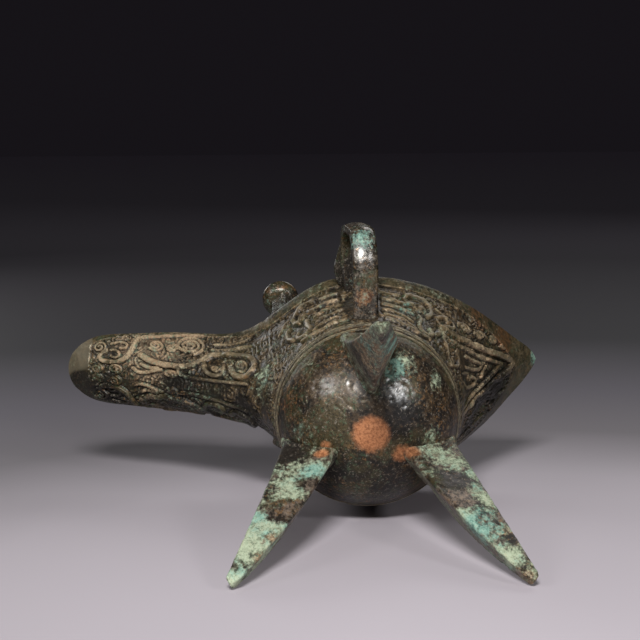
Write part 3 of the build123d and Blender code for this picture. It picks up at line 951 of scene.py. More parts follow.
def beast_head():
    """Beast head along the upper arm, its muzzle over the bend: brow line, eyes, nostrils and horns."""
    bend_middle = HANDLE_REACH - HANDLE_CORNER
    arm_top = ARM_HIGH + STRAP_THICK / 2
    length = HEAD_FRONT - HEAD_BACK
    bm = bmesh.new()
    bmesh.ops.create_uvsphere(bm, u_segments=120, v_segments=80, radius=1.0)
    ball = np.array([v.co for v in bm.verts])
    forward = ball[:, 1]
    y = HEAD_FRONT - 0.5 * length * (1 - forward)
    over = np.clip(y - bend_middle, 0, HANDLE_CORNER - 0.4)
    seat = arm_top - HANDLE_CORNER + np.sqrt(HANDLE_CORNER**2 - over**2)

    # Square at the back, highest at the brow, and narrower and lower toward the muzzle
    half = 0.5 * FACE_WIDTH * (1 - 0.36 * ease(-0.6, 0.8, forward))
    blunt = (1 - forward**4) ** 0.25 / np.maximum(np.sqrt(1 - np.minimum(forward**2, 1)), 0.02)
    half = half * np.where(forward < 0, np.minimum(blunt, 3.0), 1.0)
    tall = BROW_HEIGHT * (0.62 + 0.38 * ease(-1.0, -0.2, forward) - 0.42 * ease(-0.1, 0.8, forward))

    # Brow line down the middle, and to each side an eye in its socket, a curled horn and a nostril
    relief = 0.35 * soft_ridge(ball[:, 0], 0.0, 0.10)
    for side in (-1, 1):
        eye, horn, nostril = (
            np.linalg.norm(ball - unit(np.array(place) * (side, 1, 1)), axis=1) / reach
            for place, reach in (HEAD_EYE, HEAD_HORN, HEAD_NOSTRIL)
        )
        relief = np.maximum(relief, 0.8 * dome(eye)) - 0.45 * soft_ridge(eye, 1.25, 0.22)
        relief = np.maximum(relief, 0.55 * soft_ridge(horn, 0.80, 0.20))
        relief = np.maximum(relief, 0.45 * dome(horn / 0.32))
        relief = np.maximum(relief, 0.6 * dome(nostril))

    # The lower half of the ball is pressed flat onto the strap
    upper = np.clip(ball[:, 2], 0, 1)
    places = np.column_stack([half * ball[:, 0], y, seat + tall * upper])
    outward = np.column_stack([ball[:, 0], 0.3 * np.minimum(forward, 0), upper])
    outward *= ease(0.0, 0.12, ball[:, 2])[:, None]
    places = places + outward * (relief + 0.12 * grain(places, 2.0, 21.0))[:, None]
    layer = bm.verts.layers.float.new("relief")
    for v, co in zip(bm.verts, lay(handle_turned(places))):
        v.co = co
        v[layer] = PLAIN
    return finished("beast_head", bm)


# Posts

def post_frame(side, places):
    """Stands a post's places on the rim, turned along it."""
    before, here, after = RIM_HALF[POST_POINT - 1 : POST_POINT + 2]
    along = side * math.atan2(after[1] - before[1], after[0] - before[0])
    x, y = turned(places[..., 0], places[..., 1], along)
    return np.stack([here[0] - WALL / 3 + x, side * (here[1] - WALL / 3) + y, places[..., 2]], -1)


def post_top():
    """Height where the cap sits."""
    return float(rim_height(RIM_HALF[POST_POINT][0])) + POST_HEIGHT


def post_stem(name, side):
    """Square stem with soft edges, a little waisted, that straddles the rim."""
    rows = 60
    corners = oblong(POST_WIDTH / 2, POST_DEPTH / 2)
    section = rounded_outline(corners, POST_EDGE, per_side=8, per_bend=5)
    levels = []
    for i in range(rows + 1):
        f = i / rows
        waist = 1 - POST_WAIST * math.sin(math.pi * f)
        z = post_top() - (POST_SEAT + POST_HEIGHT) * (1 - f)
        levels.append(np.column_stack([section * waist, np.full(len(section), z)]))
    places = np.array(levels).transpose(1, 0, 2)
    worn = 0.12 * bumps(places, 2.6, 30.0 + side)
    places = places - unit(places * LEVEL) * worn[..., None]
    places[-1] = places[0]
    return folded_grid(name, post_frame(side, places), cap_ends=True)


def post_cap(name, side):
    """Mushroom cap with a waist groove and a whorl on its crown."""
    swell_steps, crown_steps, turn_steps = 14, 23, 96
    foot, waist = 0.62, 0.76    # shares of the cap's radius
    shoulder = 0.52             # share of its height where the crown starts
    profile = [(0.0, 0.0), (0.35 * CAP_RADIUS, 0.0), (foot * CAP_RADIUS, 0.0)]
    for i in range(1, swell_steps + 1):
        f = i / swell_steps
        r = foot + 0.28 * f + 0.24 * math.sin(math.pi * f) * (1 - 0.1 * f)
        profile.append((min(r, 1.0) * CAP_RADIUS, 0.44 * CAP_HEIGHT * f))
    profile += [(0.80 * CAP_RADIUS, 0.47 * CAP_HEIGHT), (waist * CAP_RADIUS, shoulder * CAP_HEIGHT)]
    for i in range(1, crown_steps + 1):
        turn = math.pi / 2 * i / crown_steps
        rise = shoulder + (1 - shoulder) * math.sin(turn)
        profile.append((waist * CAP_RADIUS * math.cos(turn), rise * CAP_HEIGHT))
    profile[-1] = (0.0, CAP_HEIGHT)

    def dressed(places):
        r = np.linalg.norm(places[:, :2], axis=1)
        crown = ease(0.55, 0.62, places[:, 2] / CAP_HEIGHT)
        whorl = np.cos(3 * np.arctan2(places[:, 1], places[:, 0]) + 5.0 * r / CAP_RADIUS * math.pi)
        cut = 0.22 * crown * ease(0.1, 0.9, whorl) * ease(0.0, 1.2, r) + 0.08 * bumps(places, 1.8, 40.0)
        plan = places[:, :2] * (1 - cut / np.maximum(r, 1.5))[:, None]
        return post_frame(side, np.column_stack([plan, post_top() + places[:, 2] - 0.4 * cut * crown]))

    return spun(name, profile, turn_steps, dressed)


# Finishes

def link(tree, out, into):
    """Joins two sockets."""
    tree.links.new(out, into)


def value_node(tree, operation, a, b):
    """One step of arithmetic on sockets or plain numbers."""
    step = tree.nodes.new("ShaderNodeMath")
    step.operation = operation
    for socket, given in zip(step.inputs, (a, b)):
        if isinstance(given, (int, float)):
            socket.default_value = given
        else:
            link(tree, given, socket)
    return step.outputs[0]


def between(tree, value, low, high):
    """Smooth mask, 0 at low and 1 at high."""
    step = tree.nodes.new("ShaderNodeMapRange")
    step.interpolation_type = "SMOOTHSTEP"
    link(tree, value, step.inputs["Value"])
    step.inputs["From Min"].default_value = low
    step.inputs["From Max"].default_value = high
    return step.outputs["Result"]


def distance_from(tree, coords, place):
    """Distance of each spot on the surface from a place."""
    step = tree.nodes.new("ShaderNodeVectorMath")
    step.operation = "DISTANCE"
    link(tree, coords, step.inputs[0])
    step.inputs[1].default_value = place
    return step.outputs["Value"]


def cloud(tree, coords, size, detail, rough, seed=0.0):
    """Noise with features of a given size in millimetres."""
    step = tree.nodes.new("ShaderNodeTexNoise")
    step.noise_dimensions = "4D"
    step.inputs["W"].default_value = seed
    step.inputs["Scale"].default_value = 1.0 / (size * MM)
    step.inputs["Detail"].default_value = detail
    step.inputs["Roughness"].default_value = rough
    link(tree, coords, step.inputs["Vector"])
    return step.outputs["Fac"]


def mixed(tree, share, first, second):
    """Mixes two colours, each a socket or a plain colour."""
    step = tree.nodes.new("ShaderNodeMix")
    step.data_type = "RGBA"
    colours = [s for s in step.inputs if s.type == "RGBA"]
    link(tree, share, step.inputs[0])
    for socket, given in zip(colours, (first, second)):
        if isinstance(given, tuple):
            socket.default_value = (*given, 1.0)
        else:
            link(tree, given, socket)
    return [s for s in step.outputs if s.type == "RGBA"][0]


def mixed_value(tree, share, first, second):
    """Mixes two plain numbers or sockets by a mask."""
    spread = value_node(tree, "SUBTRACT", second, first)
    return value_node(tree, "ADD", value_node(tree, "MULTIPLY", share, spread), first)


# Colours of the patina in linear light; of a pair, the second shows more where a pattern is strong
OLIVE_STAIN = (0.082, 0.066, 0.026)
WARM_FLECK = (0.200, 0.108, 0.042)
COOL_FLECK = (0.070, 0.128, 0.074)
PALE_DUST = (0.25, 0.215, 0.175)
DARK_DUST = (0.007, 0.006, 0.005)
RED_OXIDE = ((0.075, 0.030, 0.014), (0.215, 0.098, 0.040))
EARTH = ((0.12, 0.072, 0.036), (0.40, 0.295, 0.180))
RUSTY_EARTH = (0.24, 0.140, 0.078)
MOSSY_EARTH = (0.13, 0.165, 0.105)
VERDIGRIS = ((0.115, 0.142, 0.088), (0.060, 0.155, 0.128))
CHALK = ((0.40, 0.455, 0.315), (0.27, 0.43, 0.34))
CRUST_SAND = (0.30, 0.235, 0.15)
CRUST_GAP = (0.034, 0.036, 0.027)
COPPER = ((0.25, 0.088, 0.032), (0.48, 0.198, 0.082))
WORN_RIBBON_AND_HIGHLIGHT = (0.36, 0.285, 0.175)
PAINTED_GROOVE_SHADE = (0.010, 0.009, 0.007)
PAINTED_STRING_HIGHLIGHT = (0.30, 0.25, 0.155)
WORN_TIP_AND_PAINTED_SHADE = ((0.145, 0.124, 0.084), (0.020, 0.017, 0.012))
RIM_SKIN = (0.036, 0.038, 0.018)

# How much of each crust a finish has where no patch adds to it: below 0 it is rare
USUAL = {
    "Gloss": 0.0, "Dark": 0.0, "Green": -0.3, "Teal": 0.0, "Earth": -0.2, "Red": -0.35, "Copper": -2.0
}


def patina_group():
    """Corroded bronze: dark skin, red oxide, green crust, earth with a little more on raised lines as a
    painted highlight, painted highlights on ribbons and string lines, and painted shade in the grooves.
    """
    tree = bpy.data.node_groups.new("patina", "ShaderNodeTree")
    for way, kind, names in (
        ("INPUT", "Vector", ("Place",)),
        ("INPUT", "Color", ("Low skin", "High skin")),
        ("INPUT", "Float", ("Relief", "Skin rough", *USUAL)),
        ("OUTPUT", "Color", ("Color",)),
        ("OUTPUT", "Float", ("Roughness", "Metallic", "Shine", "Height")),
    ):
        for name in names:
            tree.interface.new_socket(name=name, in_out=way, socket_type=f"NodeSocket{kind}")
    given = tree.nodes.new("NodeGroupInput").outputs
    out = tree.nodes.new("NodeGroupOutput").inputs
    relief = given["Relief"]

    def pattern(*settings):
        return cloud(tree, given["Place"], *settings)

    def mask(value, low, high):
        return between(tree, value, low, high)

    def plus(first, *others):
        for other in others:
            first = value_node(tree, "ADD", first, other)
        return first

    def times(a, b):
        return value_node(tree, "MULTIPLY", a, b)

    def most(a, b):
        return value_node(tree, "MAXIMUM", a, b)

    def sway(noise_value, gain):
        return times(value_node(tree, "SUBTRACT", noise_value, 0.5), gain)

    def tint(colour, share, second):
        return mixed(tree, share, colour, second)

    def pair(share, colours):
        return mixed(tree, share, *colours)

    broad = pattern(15.0, 3.0, 0.55)
    hue = pattern(11.0, 3.0, 0.55, 4.0)
    patches = pattern(5.5, 8.0, 0.66)
    mottle = pattern(4.0, 8.0, 0.70, 21.0)
    fine = pattern(1.4, 5.0, 0.72)
    dust = pattern(0.75, 3.0, 0.75, 2.0)
    flecks = pattern(1.5, 4.0, 0.70, 9.0)

    # Skin with stains, flecks, dust and red oxide
    tone = value_node(tree, "SUBTRACT", plus(sway(mottle, 1.0), sway(fine, 0.8)), given["Dark"])
    skin = pair(mask(tone, -0.12, 0.14), (given["Low skin"], given["High skin"]))
    skin = tint(skin, times(mask(hue, 0.48, 0.60), 0.5), OLIVE_STAIN)
    warm = times(mask(flecks, 0.54, 0.62), mask(broad, 0.42, 0.58))
    skin = tint(skin, times(warm, 0.75), WARM_FLECK)
    cool = times(mask(flecks, 0.46, 0.38), mask(hue, 0.44, 0.58))
    skin = tint(skin, times(cool, 0.55), COOL_FLECK)
    skin = tint(skin, times(mask(dust, 0.57, 0.64), 0.6), PALE_DUST)
    skin = tint(skin, times(mask(dust, 0.45, 0.38), 0.85), DARK_DUST)
    rust = plus(sway(broad, 1.2), sway(fine, 1.6), given["Red"])
    oxide = pair(mask(flecks, 0.42, 0.60), RED_OXIDE)
    colour = tint(skin, times(mask(rust, 0.0, 0.25), 0.85), oxide)

    # Earth, a little more of it on raised lines, partly as a painted highlight
    ornament_only = mask(relief, 0.88, 0.80)
    raised = times(mask(relief, 0.03, 0.20), ornament_only)
    ribbon = times(mask(relief, 0.35, 0.50), ornament_only)
    earth = plus(sway(mottle, 1.0), sway(fine, 1.6), given["Earth"], times(raised, 0.08), times(ribbon, 0.08))
    earth_mask = mask(earth, -0.05, 0.26)
    sand = pair(mask(dust, 0.40, 0.62), EARTH)
    sand = tint(sand, times(mask(hue, 0.47, 0.59), 0.55), RUSTY_EARTH)
    sand = tint(sand, mask(flecks, 0.46, 0.38), MOSSY_EARTH)
    colour = tint(colour, earth_mask, sand)

    # Green crust, bluer in places and chalky where it is thick
    green = plus(sway(patches, 1.3), sway(fine, 1.6), given["Green"])
    green_mask = mask(green, -0.16, 0.26)
    teal = mask(plus(pattern(8.0, 4.0, 0.6, 14.0), sway(fine, 0.7), given["Teal"]), 0.48, 0.78)
    pale = plus(sway(dust, 1.5), sway(fine, 1.3), sway(patches, 0.6), times(given["Green"], 0.7))
    verdigris = tint(pair(teal, VERDIGRIS), mask(pale, -0.22, 0.48), pair(teal, CHALK))
    verdigris = tint(verdigris, times(mask(dust, 0.55, 0.66), 0.45), CRUST_SAND)
    verdigris = tint(verdigris, times(mask(flecks, 0.42, 0.33), 0.65), CRUST_GAP)
    colour = tint(colour, green_mask, verdigris)

    # Bare copper
    bare = mask(plus(sway(fine, 1.0), sway(patches, 0.6), given["Copper"]), -0.35, 0.38)
    colour = tint(colour, bare, pair(mask(dust, 0.36, 0.62), COPPER))

    # Rubbed ribbons with a painted highlight, painted shade in the grooves, a painted highlight on the string
    # lines, the worn tip with painted shade on its lower half, and the rim, each by its relief mark
    # Worn ribbon ridges, lightened also as a painted highlight, except where a Dark patch lies
    wear_and_highlight_mask = times(times(mask(relief, 0.48, 0.68), ornament_only), mask(given["Dark"], 0.25, 0.0))
    colour = tint(colour, times(wear_and_highlight_mask, 0.32), WORN_RIBBON_AND_HIGHLIGHT)
    # Painted shade: grooves beside ribbons, and the ground between scroll lines, are darkened
    groove = most(times(mask(relief, 0.12, 0.02), 0.9), times(mask(relief, 0.27, 0.15), 0.62))
    colour = tint(colour, groove, PAINTED_GROOVE_SHADE)
    # Painted highlight along the string lines, in an earthy tan
    string = mask(relief, 1.4, 1.5)
    colour = tint(colour, times(string, mask(fine, 0.40, 0.60)), PAINTED_STRING_HIGHLIGHT)
    smooth = value_node(tree, "SUBTRACT", mask(relief, 1.0, 1.1), string)
    # Worn tip, with painted shade on its lower half where a Dark patch lies
    colour = tint(colour, times(smooth, 0.78), pair(mask(given["Dark"], 0.03, 0.14), WORN_TIP_AND_PAINTED_SHADE))
    rim = times(mask(relief, 0.93, 0.97), mask(relief, 1.07, 1.03))
    colour = tint(colour, times(rim, 0.40), RIM_SKIN)

    # Crusts are rough and dull, and the worn tip is the smoothest
    crust = most(most(green_mask, times(earth_mask, 0.8)), times(bare, 0.7))
    roughness = plus(mixed_value(tree, crust, given["Skin rough"], 0.78), sway(fine, 0.25))
    polish = times(mixed_value(tree, crust, 1.0, 0.3), mask(fine, 0.25, 0.62))
    height = plus(times(fine, 0.55), times(dust, 0.30), times(green_mask, 0.40))
    link(tree, colour, out["Color"])
    link(tree, mixed_value(tree, smooth, roughness, 0.26), out["Roughness"])
    link(tree, mixed_value(tree, crust, 0.35, 0.0), out["Metallic"])
    link(tree, times(given["Gloss"], polish), out["Shine"])
    link(tree, times(height, mixed_value(tree, smooth, 1.0, 0.15)), out["Height"])
    return tree


# Dark and light of each finish's bare skin
DARK_SKIN = ((0.010, 0.008, 0.006), (0.068, 0.044, 0.023))
WALL_SKIN = ((0.016, 0.013, 0.008), (0.160, 0.109, 0.056))
SCALED_SKIN = ((0.022, 0.017, 0.013), (0.215, 0.160, 0.120))
WORN_SKIN = ((0.022, 0.018, 0.013), (0.150, 0.124, 0.098))

COAT_IOR = 1.9              # of polished places
COAT_ROUGH = 0.24
SPOT_CORE = 0.25            # share of a patch's reach within which it has its full strength
BUMP_STRENGTH = 0.5
BUMP_HEIGHT = 0.35


def spot_mask(tree, coords, place, reach, strength):
    """Soft round patch about a place on the standing vessel."""
    away = distance_from(tree, coords, lay(place))
    return value_node(tree, "MULTIPLY", between(tree, away, reach * MM, SPOT_CORE * reach * MM), strength)


def bronze(name, group, skin, amounts, spots, rough, gloss, stretch=1.0):
    """A bronze finish: the shared patina with its own share of each crust, and placed patches of them."""
    material = bpy.data.materials.new(name)
    material.use_nodes = True
    tree = material.node_tree
    shader = tree.nodes["Principled BSDF"]
    shader.inputs["Specular IOR Level"].default_value = gloss
    patina = tree.nodes.new("ShaderNodeGroup")
    patina.node_tree = group
    for socket, colour in zip(("Low skin", "High skin"), skin):
        patina.inputs[socket].default_value = (*colour, 1.0)
    patina.inputs["Skin rough"].default_value = rough
    relief = tree.nodes.new("ShaderNodeAttribute")
    relief.attribute_name = "relief"
    link(tree, relief.outputs["Fac"], patina.inputs["Relief"])
    coords = tree.nodes.new("ShaderNodeTexCoord").outputs["Object"]
    drawn_out = tree.nodes.new("ShaderNodeMapping")
    drawn_out.inputs["Scale"].default_value = (1.0, 1.0 / stretch, 1.0)
    link(tree, coords, drawn_out.inputs["Vector"])
    link(tree, drawn_out.outputs["Vector"], patina.inputs["Place"])
    for kind, usual in USUAL.items():
        total = amounts.get(kind, usual)
        for spot_kind, place, reach, strength in spots:
            if spot_kind == kind:
                total = value_node(tree, "ADD", spot_mask(tree, coords, place, reach, strength), total)
        if isinstance(total, (int, float)):
            patina.inputs[kind].default_value = total
        else:
            link(tree, total, patina.inputs[kind])
    given_to = {"Color": "Base Color", "Roughness": "Roughness", "Metallic": "Metallic"}
    if any(spot[0] == "Gloss" for spot in spots):
        given_to["Shine"] = "Coat Weight"
        shader.inputs["Coat IOR"].default_value = COAT_IOR
        shader.inputs["Coat Roughness"].default_value = COAT_ROUGH
    for out, into in given_to.items():
        link(tree, patina.outputs[out], shader.inputs[into])
    bump = tree.nodes.new("ShaderNodeBump")
    bump.inputs["Strength"].default_value = BUMP_STRENGTH
    bump.inputs["Distance"].default_value = BUMP_HEIGHT * MM
    link(tree, patina.outputs["Height"], bump.inputs["Height"])
    link(tree, bump.outputs["Normal"], shader.inputs["Normal"])
    return material


# Patches: crust, place on the standing vessel, reach and strength
PLUG_SPOT = ("Copper", (0, 0, 69), 10, 1.36)
WALL_SPOTS = [
    ("Green", (35, 7, 113), 11, 0.20),
    ("Earth", (36, 11, 122), 8, 0.15),
    ("Green", (27, 20, 127), 12, 0.12),
    ("Green", (18, 33, 141), 10, 0.12),
    ("Earth", (13, 31, 126), 9, 0.20),
    ("Red", (10, 32, 126), 12, 0.18),
    ("Green", (-19, 27, 119), 15, 0.18),
    ("Teal", (-10, 30, 122), 18, 0.20),
    ("Green", (-28, 31, 144), 12, 0.15),
    ("Red", (-43, 20, 154), 11, 0.60),
    ("Red", (-53, 11, 161), 10, 0.60),
    ("Green", (-66, 1, 175), 5, 0.45),
    ("Teal", (-66, 1, 175), 8, 0.30),
    ("Red", (-45, 1, 142), 8, 0.35),
    ("Earth", (-42, 6, 138), 20, 0.24),
    ("Earth", (72, 12, 154), 34, 0.31),
    # Dark patina and painted shade on the lower half of the spout's smooth tip
    ("Dark", (102, -9, 163), 11, 0.50),
    ("Green", (78, 8, 152), 7, 0.18),
    ("Green", (46, 8, 128), 6, 0.18),
    ("Green", (58, -4, 138), 20, 0.10),
    # Darker lower halves of spout and tail with less earth: partly dark patina, partly painted shade on the
    # side facing the floor
    ("Dark", (62, -12, 138), 24, 0.40),
    ("Earth", (62, -12, 138), 24, -0.40),
    ("Dark", (90, -10, 156), 20, 0.40),
    ("Earth", (90, -10, 156), 18, -0.35),
    ("Dark", (38, -14, 124), 18, 0.40),
    ("Earth", (38, -14, 124), 18, -0.35),
    ("Dark", (-46, -10, 146), 22, 0.40),
    ("Earth", (-46, -12, 146), 20, -0.35),
    ("Earth", (76, 6, 152), 16, 0.10),
    ("Earth", (20, 30, 120), 20, -0.08),
    ("Earth", (-24, 28, 122), 20, -0.06),
    ("Green", (30, 10, 116), 12, 0.14),
    ("Red", (22, 29, 134), 10, 0.20),
]
BOWL_SPOTS = [
    ("Gloss", (16, 12, 76), 14, 0.8),
    ("Gloss", (-10, 11, 74), 12, 0.9),
    # Painted sheen: the skin is a little lighter under the first polished place
    ("Dark", (13, 13, 76), 12, -0.12),
    ("Teal", (-7, 19, 76), 7, 0.40),
    ("Green", (-7, 19, 76), 7, 0.46),
    ("Green", (-12, 21, 80), 7, 0.34),
    ("Green", (-21, 15, 82), 7, 0.34),
    ("Green", (-20, -2, 76), 7, 0.38),
    ("Green", (21, -3, 77), 8, 0.26),
    ("Green", (20, 20, 88), 10, 0.20),
    ("Red", (25, 4, 81), 14, 0.25),
    ("Red", (8, 23, 80), 8, 0.12),
    ("Red", (0, 9, 70), 8, 0.30),
    ("Earth", (19, 21, 88), 9, 0.14),
    ("Earth", (14, 14, 76), 11, 0.14),
    ("Dark", (-12, 7, 72), 9, 0.20),
    # Painted shade: the bowl's lower side is darker
    ("Dark", (4, -20, 77), 20, 0.32),
    ("Dark", (25, 3, 81), 13, 0.18),
    ("Copper", (-10, -7, 71), 6, 1.0),
    ("Copper", (15, -5, 71), 5, 1.0),
    PLUG_SPOT,
]
LEG_SPOTS = [
    ("Copper", (16, -6, 70), 5, 1.05),
    ("Copper", (-13, -6, 70), 6, 1.0),
    ("Green", (26, -7, 75), 10, -0.60),
    ("Dark", (26, -7, 75), 11, 0.30),
    ("Green", (20, -8, 59), 9, 0.26),
    ("Teal", (19, -8, 58), 7, 0.20),
    ("Green", (27, -10, 51), 7, 0.26),
    ("Green", (25, -11, 44), 7, 0.26),
    ("Green", (21, -10, 49), 5, -0.30),
    ("Dark", (33, -12, 44), 5, 0.30),
    ("Dark", (28, -9, 60), 5, 0.25),
    ("Green", (35, -14, 31), 5, 0.34),
    ("Teal", (35, -14, 31), 6, 0.20),
    ("Green", (28, -14, 33), 9, -0.36),
    ("Green", (35, -17, 20), 14, 0.40),
    ("Green", (39, -20, 11), 9, 0.26),
    ("Earth", (31, -17, 20), 5, 0.40),
    ("Earth", (38, -16, 16), 4, 0.40),
    ("Green", (38, -16, 16), 3, -0.30),
    ("Green", (31, -17, 20), 5, -0.36),
    ("Earth", (35, -20, 10), 5, 0.40),
    ("Green", (35, -20, 10), 4, -0.36),
    ("Green", (-21, -7, 71), 11, 0.16),
    ("Green", (-26, -8, 63), 8, 0.14),
    ("Dark", (-24, -10, 52), 9, 0.36),
    ("Green", (-24, -10, 51), 9, -0.36),
    ("Green", (-24, -12, 39), 8, -0.36),
    ("Green", (-30, -9, 56), 5, 0.28),
    ("Green", (-34, -12, 40), 6, 0.26),
    ("Green", (-25, -15, 29), 7, 0.32),
    ("Green", (-29, -18, 20), 7, 0.34),
    ("Green", (-36, -20, 9), 7, 0.34),
    ("Teal", (-29, -17, 20), 16, 0.26),
    ("Dark", (-33, -14, 33), 5, 0.34),
    ("Dark", (-39, -18, 18), 4, 0.34),
    ("Green", (-39, -18, 18), 4, -0.30),
    ("Earth", (-36, -17, 22), 6, 0.34),
    ("Earth", (-43, -24, 2), 6, 0.34),
    # Dark patina and painted shade on the spout-side face of the handle-side leg
    ("Dark", (8, 33, 48), 17, 0.08),
    ("Green", (5, 34, 42), 20, -0.30),
    ("Green", (-7, 31, 47), 7, 0.60),
    ("Green", (-6, 37, 28), 6, 0.60),
    ("Green", (-5, 42, 13), 5, 0.55),
    ("Teal", (-7, 36, 28), 26, 0.40),
    ("Earth", (3, 42, 12), 12, 0.26),
    ("Earth", (-1, 38, 30), 24, 0.36),
    # Dark patina and painted shade on the same face
    ("Dark", (10, 31, 48), 12, 0.30),
    # Pale crust on the spout-side leg's toe, partly a painted highlight
    ("Green", (42, -24, 2), 5, 0.45),
    ("Teal", (42, -24, 2), 6, 0.15),
]
HANDLE_SPOTS = [
    ("Gloss", (1, 55, 104), 12, 0.5),
    ("Green", (1, 57, 108), 8, 0.34),
    ("Teal", (1, 57, 108), 14, 0.24),
    ("Red", (1, 38, 104), 5, 0.50),
    ("Earth", (1, 38, 104), 4, 0.30),
    # Dark patina and painted shade on the inside of the loop's upper arm
    ("Dark", (6, 39, 131), 7, 0.5),
    ("Dark", (5, 47, 131), 7, 0.5),
    ("Dark", (4, 54, 130), 7, 0.5),
    ("Dark", (28, 23, 176), 18, 0.52),
    ("Red", (28, 23, 180), 14, 0.32),
    ("Green", (28, 23, 182), 10, -0.30),
    # Painted shade, with a little green crust, on the handle-side post's stem
    ("Dark", (28, 23, 158), 16, 0.40),
    ("Green", (28, 23, 158), 16, 0.12),
]

# Floor: a painted pool of light, grey by the distance from its lightest place, in metres
FLOOR_HALF = 4.0
PAINTED_POOL_MIDDLE = (0.055, -0.08, 0.0)
PAINTED_POOL_FALLOFF = [
    (0.08, 0.46), (0.16, 0.39), (0.25, 0.16), (0.36, 0.108),
    (0.55, 0.022), (1.1, 0.038), (2.2, 0.20), (4.0, 0.50),
]
FLOOR_ROUGH = 0.7
NEAR_TINT = (1.0, 0.905, 0.98)
FAR_TINT = (1.0, 0.905, 1.07)
FAR_START = 0.3


def floor_painted_light_pool():
    """Pale paper with a painted pool of light: its grey fades to charcoal away from the part and rises again
    far out.
    """
    material = bpy.data.materials.new("floor_painted_light_pool")
    material.use_nodes = True
    tree = material.node_tree
    shader = tree.nodes["Principled BSDF"]
    coords = tree.nodes.new("ShaderNodeTexCoord").outputs["Object"]
    farthest = PAINTED_POOL_FALLOFF[-1][0]
    share = value_node(tree, "DIVIDE", distance_from(tree, coords, PAINTED_POOL_MIDDLE), farthest)
    ramp = tree.nodes.new("ShaderNodeValToRGB")
    link(tree, share, ramp.inputs["Fac"])
    stops = ramp.color_ramp.elements
    while len(stops) < len(PAINTED_POOL_FALLOFF):
        stops.new(0.5)
    for stop, (reach, grey) in zip(stops, PAINTED_POOL_FALLOFF):
        stop.position = reach / farthest
        shades = NEAR_TINT if reach < FAR_START else FAR_TINT
        stop.color = (*(grey * shade for shade in shades), 1.0)
    link(tree, ramp.outputs["Color"], shader.inputs["Base Color"])
    shader.inputs["Roughness"].default_value = FLOOR_ROUGH
    return material


# Assembly

patina = patina_group()
wall_mix = {"Green": -0.26, "Earth": -0.22}
wall_bronze = bronze("wall_bronze", patina, WALL_SKIN, wall_mix, WALL_SPOTS, rough=0.42, gloss=0.4)
bowl_mix = {"Green": -0.38, "Earth": -0.24, "Red": -0.30, "Copper": -0.8}
bowl_bronze = bronze("bowl_bronze", patina, DARK_SKIN, bowl_mix, BOWL_SPOTS, rough=0.42, gloss=0.5)
plug_copper = bronze("plug_copper", patina, DARK_SKIN, bowl_mix, [PLUG_SPOT], rough=0.42, gloss=0.5)
leg_mix = {"Green": -0.02, "Earth": -0.16, "Copper": -0.8}
leg_bronze = bronze(
    "leg_bronze", patina, SCALED_SKIN, leg_mix, LEG_SPOTS, rough=0.48, gloss=0.4, stretch=1.8
)
handle_mix = {"Green": -0.26, "Teal": 0.1}
handle_bronze = bronze(
    "handle_bronze", patina, WORN_SKIN, handle_mix, HANDLE_SPOTS, rough=0.25, gloss=0.8
)

ornament = Ornament()
settle(band_wall(ornament), "aged_bronze", wall_bronze, "belly_band")
spout_wall = trough_wall("spout_wall", JOINT, SPOUT_REACH - TIP_WEAR, ornament, columns=290, half_rows=92)
settle(spout_wall, "aged_bronze", wall_bronze, "spout")
tail_wall = trough_wall("tail_wall", -JOINT, -TAIL_REACH, ornament, columns=210, half_rows=110)
settle(tail_wall, "aged_bronze", wall_bronze, "tail")
settle(bowl_shell(), "aged_bronze", bowl_bronze, "bowl")
settle(copper_plug(), "bare_copper", plug_copper, "base_plug")
for i, (where, bearing) in enumerate(LEG_BEARINGS.items()):
    settle(leg_blade(f"leg_blade_{where}", bearing, 50.0 + 7 * i), "green_bronze", leg_bronze, f"leg_{where}")
settle(strap_loop(), "aged_bronze", handle_bronze, "handle_strap")
settle(beast_head(), "aged_bronze", handle_bronze, "handle_head")
for where, side in (("handle_side", 1), ("far_side", -1)):
    settle(post_stem(f"post_stem_{where}", side), "aged_bronze", handle_bronze, f"post_{where}")
    settle(post_cap(f"mushroom_cap_{where}", side), "aged_bronze", handle_bronze, f"cap_{where}")


# Stage, light and camera

LAMP_TARGET = (0.0, 0.0, 0.04)
ROOM_COLOUR = (0.008, 0.0068, 0.0088)


def floor_sheet():
    """Pale floor under the part."""
    bm = bmesh.new()
    bmesh.ops.create_grid(bm, x_segments=1, y_segments=1, size=FLOOR_HALF)
    piece = finished("floor", bm)
    piece.data.materials.append(floor_painted_light_pool())


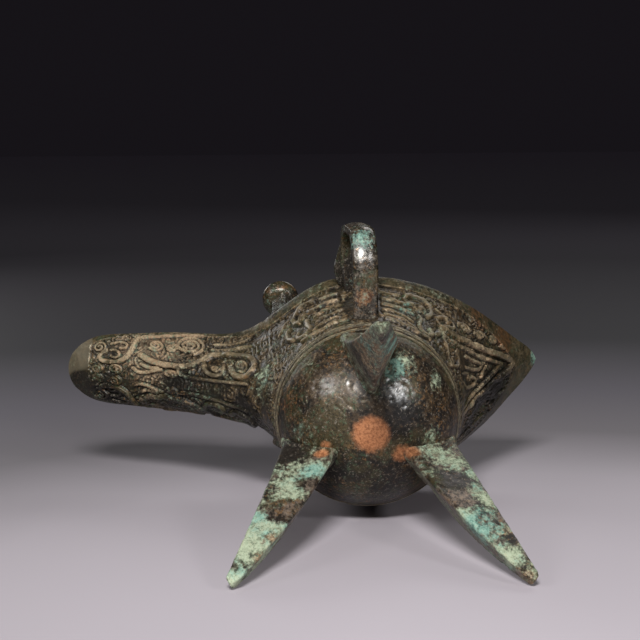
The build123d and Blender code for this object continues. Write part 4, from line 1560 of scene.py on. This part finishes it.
def soft_box(name, place, size, power):
    """Large soft lamp aimed at the part."""
    data = bpy.data.lights.new(name, "AREA")
    data.shape = "RECTANGLE"
    data.size, data.size_y = size
    data.energy = power
    lamp = bpy.data.objects.new(name, data)
    lamp.location = place
    lamp.rotation_euler = (Vector(LAMP_TARGET) - Vector(place)).to_track_quat("-Z", "Y").to_euler()
    bpy.context.scene.collection.objects.link(lamp)


def photo_camera():
    """Camera at the photograph's place: in front of the cup's base and a little above, with a long lens."""
    distance, pitch, yaw, roll = 630.03, 0.201, 0.0197, -0.0061
    aside, above, aim_height = 15.62, -30.12, 100
    focal_pixels, frame_pixels = 1889.9, 640
    level = math.cos(pitch)
    forward = Vector((-math.sin(yaw) * level, -math.sin(pitch), math.cos(yaw) * level)).normalized()
    right = forward.cross(Vector((0, 1, 0))).normalized()
    up = right.cross(forward)
    turned_right = right * math.cos(roll) + up * math.sin(roll)
    turned_up = up * math.cos(roll) - right * math.sin(roll)
    aim = Vector((0, 0, aim_height))
    eye = aim - forward * distance - turned_right * aside - turned_up * above
    home = lay((0, 0, 0))
    axes = [Vector((lay(v) - home) / MM) for v in (turned_right, turned_up, -forward)]
    data = bpy.data.cameras.new("camera")
    data.sensor_width = 36.0
    data.lens = focal_pixels * data.sensor_width / frame_pixels
    camera = bpy.data.objects.new("camera", data)
    turn = Matrix(axes).transposed().to_4x4()
    camera.matrix_world = Matrix.Translation(Vector(lay(eye))) @ turn
    bpy.context.scene.collection.objects.link(camera)
    bpy.context.scene.camera = camera


floor_sheet()
soft_box("front_box", (-0.08, -0.88, 0.68), (0.26, 0.17), 15.0)
soft_box("left_box", (-0.75, -0.56, 0.62), (0.36, 0.30), 2.0)
soft_box("right_box", (0.66, -0.76, 0.52), (0.15, 0.16), 2.3)
soft_box("back_box", (0.45, 1.05, 0.80), (0.6, 0.4), 2.2)
soft_box("mouth_box", (-0.50, 0.80, 0.34), (0.3, 0.3), 1.4)
photo_camera()

world = bpy.data.worlds.new("room")
world.use_nodes = True
background = world.node_tree.nodes["Background"]
background.inputs["Color"].default_value = (*ROOM_COLOUR, 1.0)
background.inputs["Strength"].default_value = 1.0
bpy.context.scene.world = world
bpy.context.scene.view_settings.view_transform = "Standard"
